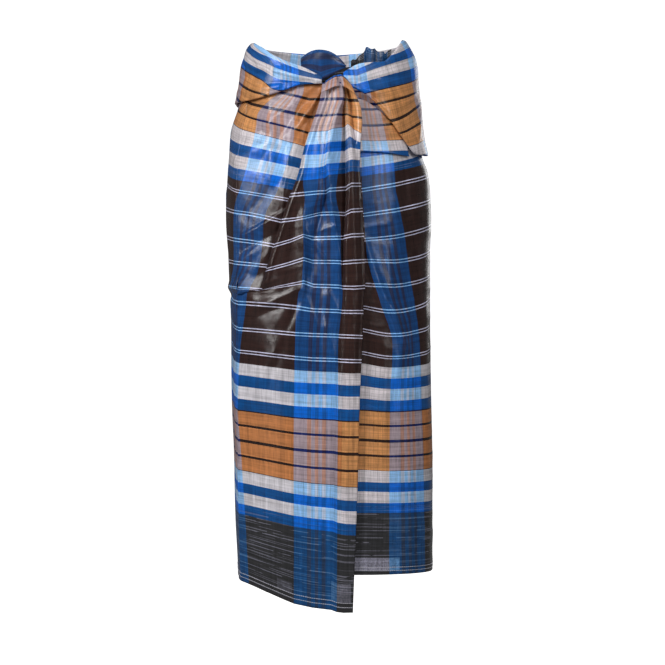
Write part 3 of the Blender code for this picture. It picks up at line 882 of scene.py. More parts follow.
backWrap = {
    "name": "backWrap", "node": "back_wrap", "slot": "back", "flat": (0.66, 0.81),
    "held": "draped", "rests": "waist_back", "stitches": "backHemStitches",
    # share of the way round, height
    "top": ((0, -0.106), (0.25, -0.098), (0.5, -0.070), (0.8, -0.028), (1, -0.024)),
    "hem": ((0, -0.828), (0.4, -0.830), (0.8, -0.835), (1, -0.841)),
    # the tuck carries on round the side: height, how wide, how proud
    "tuck": ((-0.357, 0.007, 0.0035), (-0.370, 0.006, -0.0030)),
    "ripple": (3, 0.11, 0.0012),  # seed, size, depth; and so with every crumple
}


def makeBackWrap():
    r, s = spread(0.66, 0.53)
    top, hem = line(backWrap["top"], s), line(backWrap["hem"], s)
    height = top + (hem - top) * r
    around = creaseRound(height) * s
    off = foldsAt(backFolds + hipFolds, around, height) + corner(around, height)
    off = off + ripple(around, height, *backWrap["ripple"]) * np.sin(np.pi * np.clip(s, 0, 1))
    for level, wide, proud in backWrap["tuck"]:
        off = off + proud * np.clip((around - 2.75) / 0.6, 0, 1) * np.exp(-((height - level) / wide) ** 2)
    layCloth(backWrap, around, height, off, clothRound(wrapStripes, around, height),
             clothUp(wrapThreads, around, height))


leftHip = {
    "name": "leftHip", "node": "left_hip", "slot": "left_hip", "flat": (0.16, 0.36), "area": 0.045,
    "held": "draped", "rests": "backWrap",
    "top": -0.024, "bottom": -0.370,
    "lap": 0.010,  # how far it runs in under the over panel
    "flare": 0.0055,  # how far its foot stands out
    "sunk": 0.0035,  # how far its side goes in under the panel
    "crumple": (8, 0.044, 0.0007),
}


def makeLeftHip():
    r, s = spread(0.34, 0.16)
    height = leftHip["top"] + (leftHip["bottom"] - leftHip["top"]) * r
    edge = line(overRows, height) + leftHip["lap"]
    start = creaseRound(height)
    around = start + (facing(edge, height) - start) * s
    off = foldsAt(backFolds + hipFolds, around, height) * np.clip((1 - s) * 4, 0, 1)
    off = off + leftHip["flare"] * ramp(r, 0.90, 0.985) * ramp(s, 0, 0.1) + corner(around, height)
    across = spot(around, height, 0 * height)[..., 0]
    small = creasesAt(hipCreases, across, height) + crumple(across, height, *leftHip["crumple"])
    off = off + small * ramp(s, 0.0, 0.12) - leftHip["sunk"] * ramp(s, 0.70, 0.92)
    layCloth(leftHip, around, height, off, clothRound(wrapStripes, around, height),
             clothUp(wrapThreads, around, height))


underPanel = {
    "name": "underPanel", "node": "front_under", "slot": "under_panel", "flat": (0.26, 0.74),
    "held": "draped", "rests": "backWrap", "stitches": "underHemStitches",
    "top": -0.106, "hem": -0.827,
    "edge": ((-0.85, -0.030), (-0.11, -0.010)),  # where its hidden edge runs: height, across
    "crumple": (2, 0.050, 0.0011),
}


def makeUnderPanel():
    r, s = spread(0.72, 0.24)
    height = underPanel["top"] + (underPanel["hem"] - underPanel["top"]) * r
    around = (facing(line(underPanel["edge"], height), height) - 2 * math.pi) * (1 - s)
    across = spot(around, height, 0 * height)[..., 0]
    off = creasesAt(underCreases, across, height) + crumple(across, height, *underPanel["crumple"])
    off = (off + foldsAt(underFolds, around, height)) * np.clip(s * 2.2, 0, 1) * (1 - ramp(s, 0.93, 1.0))
    # the stripes' edges are known across the front: turn them into angles
    marks = {"cuts": underStripes["cuts"], "rows": []}
    for level, left, right in underStripes["rows"]:
        edges = [math.degrees(float(facing(np.array(x), np.array(level)))) - 360 for x in (left, right)]
        marks["rows"].append((level, *edges, 0))
    layCloth(underPanel, around, height, off, clothRound(marks, around, height),
             clothUp(wrapThreads, around, height))


overRows = (
    # height, then how far across each line of the panel runs:
    # left edge, slack, first fold, hollow, ridge, deep valley, shine, pinch, right edge
    (-0.026, -0.012, -0.005, 0.002, 0.009, 0.016, 0.019, 0.021, 0.023, 0.026),
    (-0.050, -0.0155, -0.006, 0.002, 0.010, 0.0187, 0.0225, 0.0245, 0.028, 0.038),
    (-0.071, -0.021, -0.012, -0.003, 0.005, 0.0124, 0.0205, 0.0244, 0.032, 0.0445),
    (-0.094, -0.030, -0.022, -0.012, -0.002, 0.006, 0.0218, 0.0260, 0.0345, 0.046),
    (-0.115, -0.036, -0.027, -0.017, -0.008, 0.0013, 0.0225, 0.029, 0.036, 0.0445),
    (-0.136, -0.042, -0.032, -0.018, -0.010, -0.004, 0.0228, 0.030, 0.037, 0.044),
    (-0.161, -0.047, -0.033, -0.019, -0.011, -0.0057, 0.024, 0.0317, 0.038, 0.0435),
    (-0.185, -0.054, -0.038, -0.020, -0.0085, -0.0033, 0.024, 0.0317, 0.038, 0.0455),
    (-0.214, -0.065, -0.043, -0.023, -0.008, -0.001, 0.0247, 0.031, 0.039, 0.047),
    (-0.250, -0.077, -0.058, -0.044, -0.022, 0.0052, 0.0223, 0.0315, 0.041, 0.0495),
    (-0.299, -0.0926, -0.066, -0.043, -0.031, 0.0138, 0.0180, 0.0325, 0.043, 0.0515),
    (-0.352, -0.1075, -0.076, -0.043, -0.028, 0.0130, 0.0185, 0.036, 0.045, 0.053),
    (-0.364, -0.111, -0.078, -0.045, -0.028, 0.0130, 0.0190, 0.036, 0.045, 0.052),
    (-0.367, -0.1465, -0.080, -0.048, -0.028, 0.0130, 0.0190, 0.036, 0.045, 0.051),
    (-0.453, -0.1455, -0.100, -0.057, -0.030, 0.008, 0.016, 0.032, 0.041, 0.0485),
    (-0.543, -0.1455, -0.100, -0.059, -0.030, 0.006, 0.014, 0.028, 0.037, 0.0443),
    (-0.650, -0.1450, -0.100, -0.0595, -0.030, 0.004, 0.012, 0.025, 0.034, 0.042),
    (-0.791, -0.1420, -0.100, -0.059, -0.030, 0.002, 0.010, 0.022, 0.030, 0.037),
    (-0.888, -0.1400, -0.098, -0.059, -0.030, 0.000, 0.009, 0.020, 0.027, 0.0335),
)
overOff = (
    # height, then how far each line stands off the body
    (-0.026, 0.0150, 0.0190, 0.0210, 0.0230, 0.0240, 0.0180, 0.0200, 0.0150, 0.0200),
    (-0.050, 0.0140, 0.0180, 0.0205, 0.0230, 0.0245, 0.0070, 0.0130, 0.0060, 0.0200),
    (-0.071, 0.0140, 0.0165, 0.0190, 0.0220, 0.0245, 0.0040, 0.0140, 0.0060, 0.0210),
    (-0.094, 0.0130, 0.0150, 0.0175, 0.0205, 0.0240, 0.0030, 0.0170, 0.0080, 0.0210),
    (-0.115, 0.0125, 0.0140, 0.0165, 0.0190, 0.0235, 0.0020, 0.0210, 0.0110, 0.0200),
    (-0.136, 0.0125, 0.0130, 0.0160, 0.0185, 0.0230, 0.0020, 0.0225, 0.0170, 0.0165),
    (-0.161, 0.0120, 0.0120, 0.0150, 0.0160, 0.0225, 0.0020, 0.0235, 0.0185, 0.0140),
    (-0.185, 0.0120, 0.0125, 0.0145, 0.0120, 0.0215, 0.0020, 0.0230, 0.0185, 0.0130),
    (-0.214, 0.0120, 0.0128, 0.0140, 0.0090, 0.0205, 0.0020, 0.0225, 0.0175, 0.0120),
    (-0.250, 0.0115, 0.0120, 0.0140, 0.0070, 0.0175, 0.0030, 0.0205, 0.0165, 0.0110),
    (-0.299, 0.0105, 0.0110, 0.0132, 0.0065, 0.0155, 0.0065, 0.0190, 0.0150, 0.0105),
    (-0.352, 0.0095, 0.0105, 0.0130, 0.0075, 0.0140, 0.0080, 0.0170, 0.0140, 0.0100),
    (-0.369, 0.0020, 0.0090, 0.0125, 0.0085, 0.0130, 0.0090, 0.0155, 0.0130, 0.0095),
    (-0.440, 0.0020, 0.0070, 0.0110, 0.0085, 0.0120, 0.0090, 0.0130, 0.0115, 0.0090),
    (-0.640, 0.0020, 0.0060, 0.0100, 0.0085, 0.0102, 0.0085, 0.0106, 0.0100, 0.0090),
    (-0.890, 0.0020, 0.0065, 0.0095, 0.0085, 0.0095, 0.0085, 0.0098, 0.0090, 0.0085),
)
overThreads = (
    # up the cloth, then that thread's height at the left edge, first fold, hollow, valley,
    # shine and right edge
    (0.8755, -0.026, -0.026, -0.026, -0.026, -0.026, -0.029),
    (0.8490, -0.053, -0.053, -0.053, -0.053, -0.053, -0.055),
    (0.8215, -0.080, -0.080, -0.080, -0.078, -0.078, -0.084),
    (0.7950, -0.107, -0.106, -0.106, -0.098, -0.094, -0.109),
    (0.7730, -0.128, -0.127, -0.127, -0.121, -0.115, -0.124),
    (0.7550, -0.145, -0.145, -0.144, -0.138, -0.134, -0.136),
    (0.7350, -0.166, -0.165, -0.163, -0.156, -0.153, -0.153),
    (0.7165, -0.187, -0.184, -0.182, -0.174, -0.172, -0.172),
    (0.6950, -0.210, -0.206, -0.205, -0.199, -0.194, -0.193),
    (0.6540, -0.2515, -0.247, -0.2400, -0.2405, -0.236, -0.234),
    (0.6130, -0.2920, -0.2760, -0.2800, -0.2790, -0.2760, -0.2746),
    (0.5720, -0.3310, -0.3140, -0.3180, -0.3200, -0.3185, -0.317),
    (0.5310, -0.3640, -0.3515, -0.3570, -0.3600, -0.3605, -0.359),
    (0.5070, -0.3672, -0.3750, -0.3800, -0.3830, -0.3835, -0.382),
    (0.4900, -0.3846, -0.3930, -0.3970, -0.3995, -0.3997, -0.3997),
    (0.4490, -0.4273, -0.4355, -0.4370, -0.4390, -0.4395, -0.4403),
    (0.4080, -0.4640, -0.4740, -0.4765, -0.4785, -0.4793, -0.4796),
    (0.3867, -0.4840, -0.4950, -0.4970, -0.4995, -0.5004, -0.5004),
    (0.3100, -0.5600, -0.5710, -0.573, -0.5760, -0.5768, -0.577),
    (0.2020, -0.6595, -0.6750, -0.679, -0.6835, -0.685, -0.6854),
    (0.1250, -0.7300, -0.7475, -0.752, -0.7590, -0.7613, -0.762),
    (0.0000, -0.8405, -0.8726, -0.8790, -0.8860, -0.8872, -0.8872),
)
overStripes = (
    # height, then how far round the cloth each line is
    (-0.026, 0.004, 0.018, 0.032, 0.046, 0.060, 0.072, 0.078, 0.085, 0.096),
    (-0.050, 0.003, 0.017, 0.031, 0.045, 0.060, 0.074, 0.080, 0.088, 0.100),
    (-0.094, 0.000, 0.015, 0.030, 0.044, 0.058, 0.074, 0.082, 0.091, 0.102),
    (-0.115, 0.000, 0.013, 0.026, 0.039, 0.055, 0.075, 0.084, 0.092, 0.100),
    (-0.136, -0.002, 0.008, 0.0207, 0.034, 0.050, 0.076, 0.085, 0.092, 0.098),
    (-0.161, -0.005, 0.008, 0.021, 0.040, 0.055, 0.078, 0.086, 0.092, 0.098),
    (-0.185, -0.010, 0.006, 0.021, 0.048, 0.058, 0.082, 0.090, 0.096, 0.101),
    (-0.214, -0.022, -0.0015, 0.0205, 0.049, 0.061, 0.085, 0.091, 0.098, 0.104),
    (-0.250, -0.038, -0.016, 0.000, 0.027, 0.058, 0.079, 0.088, 0.097, 0.105),
    (-0.299, -0.057, -0.026, 0.000, 0.017, 0.067, 0.073, 0.087, 0.097, 0.106),
    (-0.360, -0.066, -0.031, 0.003, 0.022, 0.065, 0.071, 0.088, 0.097, 0.105),
    (-0.367, -0.088, -0.027, 0.003, 0.023, 0.064, 0.070, 0.087, 0.096, 0.102),
    (-0.453, -0.078, -0.039, 0.000, 0.027, 0.066, 0.074, 0.090, 0.099, 0.106),
    (-0.543, -0.075, -0.036, 0.000, 0.0286, 0.064, 0.072, 0.086, 0.096, 0.103),
    (-0.650, -0.080, -0.038, 0.000, 0.029, 0.063, 0.071, 0.085, 0.094, 0.102),
    (-0.791, -0.086, -0.040, 0.000, 0.029, 0.0615, 0.0695, 0.082, 0.090, 0.097),
    (-0.888, -0.088, -0.041, 0.000, 0.029, 0.060, 0.069, 0.080, 0.087, 0.094),
)
threadLines = (0, 2, 3, 5, 6, 8)  # the lines whose threads are in the table


overCreases = (
    # from and to (across, height), wide, proud, sharp side
    (-0.0325, -0.276, -0.0120, -0.309, 0.0030, 0.0030, 0),
    (0.0033, -0.236, 0.0150, -0.309, 0.0050, 0.0022, 1),
    (-0.0088, -0.217, -0.0227, -0.266, 0.0028, -0.0045, 0),
    (-0.0180, -0.268, 0.0040, -0.262, 0.0040, 0.0018, 0),
    (-0.0260, -0.285, -0.0300, -0.330, 0.0060, -0.0030, 0),
    (-0.0430, -0.258, -0.0420, -0.345, 0.0070, 0.0030, 1),
    (-0.0640, -0.370, -0.1150, -0.392, 0.0060, 0.0032, 0),
    (-0.0560, -0.392, -0.0850, -0.475, 0.0080, -0.0032, 0),
    (-0.0760, -0.445, -0.1270, -0.535, 0.0090, 0.0028, 0),
    (-0.1200, -0.380, -0.0800, -0.386, 0.0050, 0.0022, 0),
    (-0.0390, -0.375, -0.0260, -0.415, 0.0050, 0.0028, 0),
    (-0.0030, -0.368, 0.0080, -0.395, 0.0050, 0.0026, 0),
    (-0.0050, -0.428, 0.0040, -0.470, 0.0060, 0.0024, 0),
    (0.0330, -0.390, 0.0370, -0.475, 0.0060, 0.0020, 0),
    (-0.0170, -0.395, -0.0150, -0.520, 0.0060, -0.0018, 0),
)


overPanel = {
    "name": "overPanel", "node": "front_over", "slot": "over_panel", "flat": (0.29, 0.88), "area": 0.19,
    "held": "hung", "rests": "knotStrap", "stitches": "overHemStitches", "hemFrom": slice(6, -5),
    "tuck": (0.531, 0.507),  # the bunched tuck lies between these two threads
    "points": (18, 14, 14, 12, 14, 9, 8, 8),  # from each line to the next
    # the deep valley is a long slope on its left and a wall on its right, the pinch a crack:
    # from line, to line, how sharply
    "cracks": ((4, 5, 1.15), (5, 6, 5.0), (6, 7, 3.0), (7, 8, 2.0)),
    "crumple": (5, 0.055, 0.0011),
    "swell": (0.0025, 0.0050, 0.0048),  # at the free edge, in from it, and between
    "swellWide": 0.011,
}
# the edges roll under, in turns of the fold: along the body, in towards it, and along the cloth
leftRoll = ((-3.0, 3.2, 5.4), (-1.6, 3.1, 4.0), (-0.4, 2.9, 2.9), (0.7, 2.3, 1.9), (0.9, 1.1, 1.1),
            (0.55, 0.35, 0.5))
# the right edge, and what the wide hem below the tuck changes: along, in, how much wider, flatter
rightRoll = (
    (0.5, 0.15, 0.5, 0, 0, 0), (0.9, 0.6, 1.1, 0, 0, 0), (0.9, 1.4, 2.0, 0, 0, 0),
    (0.5, 1.85, 2.6, 0, 0, 0), (-0.3, 2.0, 3.4, 1, 0, 0), (-1.5, 3.2, 5.0, 3, 1.1, 0.03),
    (-2.8, 4.8, 7.0, 4, 2.6, 0.07), (-4.2, 5.6, 9.0, 5, 3.3, 0.12),
)


def makeOverPanel():
    levels = column(overThreads, 0)
    tuckTop, tuckLow = overPanel["tuck"]
    up = np.concatenate([np.linspace(levels[0], tuckTop, steps(0.35)),
                         np.linspace(tuckTop, tuckLow, 9)[1:],
                         np.linspace(tuckLow, 0, steps(0.52))[1:]])
    places = [np.linspace(k, k + 1, n, endpoint=False) for k, n in enumerate(overPanel["points"])]
    v, s = gridOf(up, np.concatenate(places + [np.array([8.0])]))
    known = np.stack([line(overThreads, up, k + 1) for k in range(6)], -1)
    height = np.array([np.interp(s[i], threadLines, known[i]) for i in range(len(up))])
    across, off, u = 0 * s, 0 * s, 0 * s
    for k in range(9):
        near = np.clip(1 - np.abs(s - k), 0, 1)
        smooth = near * near * (3 - 2 * near)
        for start, end, power in overPanel["cracks"]:
            gap = (s - start) if end in (5, 7) else (end - s)
            held = np.clip(gap, 0, 1) ** power
            part = held if k == (5 if end < 7 else 7) else (near > 0) * (1 - held)
            smooth = np.where((s > start) & (s < end), part, smooth)
        here = np.array([np.interp(k, threadLines, row) for row in known])[:, None]
        across = across + near * line(overRows, here, k + 1)
        off = off + smooth * line(overOff, here, k + 1)
        u = u + near * line(overStripes, here, k + 1)
    around = facing(across, height)
    low = ramp(height, -0.360, -0.372)
    pull = creaseRound(height) - around[:, :1]
    around = around + pull * np.clip(1 - s, 0, 1) * (height < -0.3668)
    off = off + (foldsAt(overFolds, around, height) + corner(around, height)) * low
    off = off + creasesAt(overCreases, across, height)
    worn = ramp(height, -0.14, -0.25) * (1 - ramp(height, -0.47, -0.60))
    off = off + crumple(across, height, *overPanel["crumple"]) * (0.25 + 0.75 * worn)
    # where it hangs free, the cloth beside the left edge swells and rolls under
    free = 1 - ramp(height[:, :1], -0.352, -0.362)
    flat = np.clip((across - across[:, :1]) / overPanel["swellWide"], 0, 1)
    edge, inner, middle = overPanel["swell"]
    off = off + free * (edge * (1 - flat) - inner * (1 - flat) ** 2.2 + middle * flat * (1 - flat))
    turn, perRadian = cloth["turn"], cloth["perRadian"]
    roll, dive, under = np.array(leftRoll).T[:, None] * turn
    open_ = 0.15 + 0.85 * free
    left = [around[:, :1] - roll * open_ / perRadian, height[:, :1] + 0 * roll,
            off[:, :1] - dive * (0.02 + 0.98 * free) * 0.8, u[:, :1] - under * open_, v[:, :1] + 0 * roll]
    back, sink, more, widen, flatten, slope = np.array(rightRoll).T[:, None]
    hem = low[:, -1:]
    wide = 1 + widen * hem
    right = [around[:, -1:] + back * turn / perRadian * wide,
             height[:, -1:] + (height[:, :1] - height[:, -1:]) * slope * hem,
             off[:, -1:] - (sink - flatten * hem) * turn,
             u[:, -1:] + more * turn * wide, v[:, -1:] + 0 * back]
    grids = [np.concatenate(parts, 1) for parts in zip(left, (around, height, off, u, v), right)]
    layCloth(overPanel, *grids)


waist = {
    "inside": 0.045,  # how far the cloth runs down inside the rim
    "under": 0.026,  # and up behind the lip
    "lift": 0.0050,  # how far off the body the rim stands
    "lip": 0.0045,  # and the lip
    "bulge": 0.002,
    "crumple": (11, 0.050, 0.0010),
}


def makeWaist(made):
    # turned under at its lip, up over the rim and down inside
    turn, lift = cloth["turn"], waist["lift"]
    first, last = made["edges"][0][0], made["edges"][-1][0]
    degrees = np.linspace(first, last, steps(math.radians(last - first) * 0.16))
    rim, lip = line(made["edges"], degrees), line(made["edges"], degrees, 2)
    tall = rim - lip
    low = made.get("proud", 0.0) + waist["lip"]
    high = low + 2 * turn
    hem, crown = np.minimum(waist["under"], tall * 0.45), np.minimum(waist["inside"], tall * 0.45)
    bends = np.linspace(0, math.pi, 7)[1:-1]
    path = [(low, lip + hem), (low, lip + turn * 1.2)]
    path += [(low + turn * (1 - math.cos(a)), lip + turn * (1.1 - math.sin(a))) for a in bends]
    outerFrom = len(path)
    for t in np.linspace(0, 1, 34):
        bulge = waist["bulge"] * math.sin(math.pi * t)
        up = lip + turn * 1.4 + (tall - turn * 2.8) * t
        path.append((high * (1 - t) + lift * t + bulge, up))
    outerTo = len(path)
    path += [(lift - turn * (1 - math.cos(a)), rim - turn * (1.1 - math.sin(a))) for a in bends]
    path += [(lift - 2 * turn - 0.001 * t, rim - turn * 1.2 - (crown - turn) * t)
             for t in (0.05, 0.3, 0.65, 1.0)]
    path = path[::-1]
    outerFrom, outerTo = len(path) - outerTo, len(path) - outerFrom
    off = np.array([out + 0 * degrees for out, _ in path])
    height = np.array([up for _, up in path])
    around = np.repeat(np.radians(degrees)[None, :], len(path), 0)
    rows = np.arange(len(path))[:, None]
    skin = ((rows >= outerFrom) & (rows < outerTo)).astype(float)
    t = np.clip((height - lip) / tall, 0, 1)
    soft = (np.clip(t * 8, 0, 1) * np.clip((1 - t) * 8, 0, 1)) ** 0.5
    off = off + skin * foldsAt(made["folds"], around, height) * soft
    small = crumple(around * 0.14, height, *waist["crumple"])
    off = off + skin * small * np.clip((1 - t) * t * 12, 0, 1)
    v = clothUp(made["threads"], around, np.clip(height, lip, rim))
    walk = np.linalg.norm(np.diff(spot(around, height, off), axis=0), axis=2)
    for i in range(outerFrom - 1, -1, -1):
        v[i] = v[i + 1] + walk[i]
    for i in range(outerTo, len(path)):
        v[i] = v[i - 1] - walk[i - 1]
    layCloth(made, around, height, off, clothRound(made["stripes"], around, height), v)


waistLeft = {
    "name": "waistLeft", "node": "waist_left", "slot": "left_waist", "flat": (0.21, 0.19), "area": 0.030,
    "held": "folded", "rests": "backWrap", "threads": leftThreads, "stripes": leftStripes,
    "edges": (
        # angle, rim, lip
        (175.0, 0.0520, -0.0500), (195.0, 0.0490, -0.0510), (208.0, 0.0400, -0.0500),
        (220.0, 0.0250, -0.0450), (232.0, 0.0120, -0.0370), (245.0, 0.0020, -0.0280),
        (262.0, -0.0150, -0.0265),
    ),
    "folds": (
        # from and to (angle, height), wide, proud: soft folds drawn towards the knot
        (259, -0.023, 226, -0.003, 0.0040, 0.0022), (256, -0.021, 214, -0.026, 0.0050, -0.0022),
        (240, -0.014, 190, 0.020, 0.0060, 0.0024), (228, -0.030, 186, -0.032, 0.0060, 0.0022),
        (206, 0.030, 180, 0.026, 0.0080, -0.0022), (215, -0.006, 196, -0.012, 0.0050, -0.0020),
    ),
}
waistBack = {
    "name": "waistBack", "node": "waist_back", "slot": "back_waist", "flat": (0.42, 0.24), "area": 0.085,
    "held": "folded", "rests": "backWrap", "threads": backThreads, "stripes": backStripes,
    "edges": (
        (5.0, 0.0550, -0.1360), (40.0, 0.0500, -0.1250), (90.0, 0.0440, -0.0950),
        (140.0, 0.0480, -0.0620), (174.7, 0.0520, -0.0500),
    ),
    "folds": (
        (170, 0.010, 128, 0.016, 0.0080, 0.0022), (140, -0.030, 96, -0.050, 0.0090, 0.0026),
        (112, 0.014, 70, 0.002, 0.0080, -0.0024), (86, -0.040, 40, -0.072, 0.0110, 0.0030),
        (60, 0.010, 22, -0.010, 0.0090, 0.0024), (34, -0.090, 10, -0.060, 0.0100, -0.0026),
    ),
}
hipRight = {
    "name": "hipRight", "node": "hip_right", "slot": "right_hip", "flat": (0.22, 0.27), "area": 0.035,
    "held": "folded", "rests": "backWrap", "threads": hipThreads, "stripes": hipStripes,
    "proud": 0.0025,  # its lip lies over the others
    "edges": (
        (-79.0, -0.0080, -0.0290), (-74.0, -0.0015, -0.0320), (-65.0, 0.0070, -0.0400),
        (-56.0, 0.0100, -0.0560), (-46.0, 0.0120, -0.0850), (-37.0, 0.0260, -0.1180),
        (-29.0, 0.0400, -0.1400), (-15.0, 0.0540, -0.1390), (4.7, 0.0550, -0.1360),
    ),
    "folds": (
        (-72, -0.014, -22, 0.028, 0.0045, 0.0022), (-68, -0.024, -26, -0.006, 0.0050, -0.0024),
        (-63, -0.036, -30, -0.046, 0.0055, 0.0026), (-56, -0.050, -36, -0.092, 0.0055, -0.0024),
        (-50, -0.012, -18, 0.004, 0.0060, 0.0020), (-30, -0.130, -8, -0.050, 0.0090, 0.0028),
        (-26, -0.060, -6, -0.020, 0.0070, -0.0022), (-46, -0.070, -30, -0.118, 0.0050, 0.0022),
    ),
}
rightFan = {
    "name": "rightFan", "node": "fan_right", "slot": "right_fan", "flat": (0.12, 0.11), "area": 0.009,
    "held": "gathered", "rests": "overPanel",
    # share of the way round, height
    "top": ((0, -0.036), (0.5, -0.066), (1, -0.118)),
    "lip": ((0, -0.137), (0.5, -0.139), (1, -0.144)),
    "lap": 0.012,  # how far it runs in under the over panel
    "end": -34.0,  # the angle it reaches
    "proud": 0.0045,
    "wave": (0.0015, 9.0),  # how deep its folds are, and how close
}


def makeFan():
    r, s = spread(0.11, 0.12)
    top, lip = line(rightFan["top"], s), line(rightFan["lip"], s)
    height = top + (lip - top) * r
    start = facing(line(overRows, height, 9) - rightFan["lap"], height) - 2 * math.pi
    around = start * (1 - s) + math.radians(rightFan["end"]) * s
    deep, close = rightFan["wave"]
    off = rightFan["proud"] + deep * np.sin(s * close) * r * (1 - s)
    layCloth(rightFan, around, height, off, clothRound(fanStripes, around, height),
             clothUp(fanThreads, around, height))


def pathAt(made, t):
    path = made["path"]
    return (through(range(len(path)), column(path, k), t) for k in (0, 1))


knotStrap = {
    "name": "knotStrap", "node": "knot", "slot": "knot", "flat": (0.05, 0.05),
    "held": "gathered", "rests": "overPanel",
    # share of the way across, height
    "crest": ((0, -0.0235), (0.18, -0.0190), (0.45, -0.0135), (0.62, -0.0128), (0.80, -0.0175),
              (1, -0.0260)),
    # round the strap: how far off the body, and how far below its crest
    "path": ((-0.0040, 0.026), (-0.0030, 0.012), (0.0030, 0.004), (0.0120, 0.000), (0.0200, 0.003),
             (0.0240, 0.010), (0.0260, 0.020)),
    "left": -0.0085, "wide": 0.0385,
    "flare": 0.006,  # how much wider its foot gets
    "crown": 0.0035,  # how much prouder its middle is
    "groove": (0.0065, 0.055),  # the fold down its middle: how deep and how wide
    "cloth": (0.012, 0.085, 0.8790),  # round the cloth, how much of it, and up the cloth
}


def makeKnot():
    t, s = gridOf(np.linspace(0, 6, 37), np.linspace(0, 1, 37))
    off, below = pathAt(knotStrap, t)
    height = line(knotStrap["crest"], s) - below
    across = knotStrap["left"] + knotStrap["wide"] * s
    across = across + (s - 0.5) * knotStrap["flare"] * np.clip(t - 4, 0, 2)
    crown = knotStrap["crown"] * (1 - (2 * s - 1) ** 2)
    deep, wide = knotStrap["groove"]
    seam = 0.45 + 0.05 * np.clip(t - 3, 0, 3)
    off = off + crown - deep * np.exp(-(((s - seam) / wide) ** 2)) * ramp(t, 2.0, 4.0)
    around = facing(across, height)
    middle = spot(around, height, off)[:, 18]
    walk = np.concatenate([[0], np.cumsum(np.linalg.norm(np.diff(middle, axis=0), axis=1))])
    start, share, foot = knotStrap["cloth"]
    layCloth(knotStrap, around, height, off, start + share * s, foot + walk[-1] - walk[:, None] + 0 * s)


tuckLoop = {
    "name": "tuckLoop", "node": "tuck_loop", "slot": "tuck_loop", "flat": (0.08, 0.06),
    "held": "folded", "rests": "knotStrap",
    # over the arch: how far off the body, and the share of its height
    "path": ((-0.0160, 0.25), (-0.0150, 0.70), (-0.0120, 0.96), (-0.0095, 1.0), (-0.0072, 0.95),
             (-0.0068, 0.65), (-0.0080, 0.30), (-0.0090, 0.0)),
    "middle": -0.013, "half": 0.038,  # across, and half its width
    "crest": 0.031, "foot": -0.020,  # heights at its middle
    "fall": 0.020,  # how far its ends come down, and its foot up
    "tilt": 0.006,
    "sway": 0.002,
    "wrinkle": 0.0012,
    "round": (0.0640, 0.0100), "up": (0.5925, 0.016),  # its place in the cloth, and how far that goes
}


def makeTuckLoop():
    t, s = gridOf(np.linspace(0, 7, 36), np.linspace(-1, 1, 41))
    off, share = pathAt(tuckLoop, t)
    crest = tuckLoop["crest"] - tuckLoop["fall"] * np.abs(s) ** 2.2 - tuckLoop["tilt"] * s
    foot = tuckLoop["foot"] + tuckLoop["fall"] * np.abs(s + 0.1)
    height = foot + (crest - foot) * share
    soft = tuckLoop["wrinkle"] * np.sin(5.5 * s + 1.7 * t) * np.clip(share, 0, 1)
    off = off + tuckLoop["sway"] * np.sin(s * 3) + soft
    (u, uRun), (v, vRun) = tuckLoop["round"], tuckLoop["up"]
    layCloth(tuckLoop, facing(tuckLoop["middle"] + tuckLoop["half"] * s, height), height, off,
             u - uRun * (t - 3), v + vRun * s)


tuckEnd = {
    "name": "tuckEnd", "node": "tuck_end", "slot": "tuck_end", "flat": (0.09, 0.05),
    "held": "gathered", "rests": "hipRight",
    "crest": ((0, 0.012), (0.2, 0.020), (0.42, 0.036), (0.62, 0.033), (0.85, 0.028), (1, 0.034)),
    "path": ((-0.0120, -0.70), (-0.0125, -0.30), (-0.0120, 0.10), (-0.0110, 0.50), (-0.0100, 0.80),
             (-0.0090, 1.0)),
    "left": 0.034, "wide": 0.070,
    "hidden": 0.04,  # how far its folded-in part hangs
    "jags": (0.0014, 33, 0.6),  # how deep, how close, and where they start
    "waves": ((0.0028, 26, 0), (0.0009, 57, 1.1)),
    "round": (0.40, 0.11), "up": 0.065,  # its place in the cloth, from the upper hem down
}


def makeTuckEnd():
    t, s = gridOf(np.linspace(0, 5, 26), np.linspace(0, 1, 91))
    off, share = pathAt(tuckEnd, t)
    height = np.where(share > 0, line(tuckEnd["crest"], s) * share, share * tuckEnd["hidden"])
    deep, close, start = tuckEnd["jags"]
    height = height + deep * np.sin(s * close + start) * np.maximum(share, 0)
    wave = sum(deep * np.sin(s * close + start) for deep, close, start in tuckEnd["waves"])
    u, uRun = tuckEnd["round"]
    layCloth(tuckEnd, facing(tuckEnd["left"] + tuckEnd["wide"] * s, height), height,
             off + wave * np.maximum(share, 0.15), u + uRun * s, cloth["tall"] - tuckEnd["up"] * (1 - share))


makeBackWrap()
makeLeftHip()
makeUnderPanel()
makeOverPanel()
makeFan()
for made in (waistLeft, waistBack, hipRight):
    makeWaist(made)
makeKnot()
makeTuckLoop()
makeTuckEnd()
print("stretches made")

# floor, light and camera

studio = {
    "floor": -0.975,  # where the wearer's feet would stand
    "distance": 4.0,
    "middle": (0.0025, -0.433),  # across and height of the view's middle
    "viewWide": 1.117,  # metres across the view, at the body
    "aim": (0.0, 0.0, -0.4),  # where the lamps point
    "airSeen": 0.80,  # how much brighter the air looks than it lights
    "air": 0.13,
}
paleSweep = {
    "wide": 9.0, "deep": 6.0, "tall": 5.0,
    "back": 5.4,  # where it starts to rise
    "bend": 1.4,
    "glow": 0.93,
    "seen": (0.92, 0.92, 0.92, 1),
    "lighting": (0.25, 0.25, 0.25, 1),  # darker to everything but the camera
}


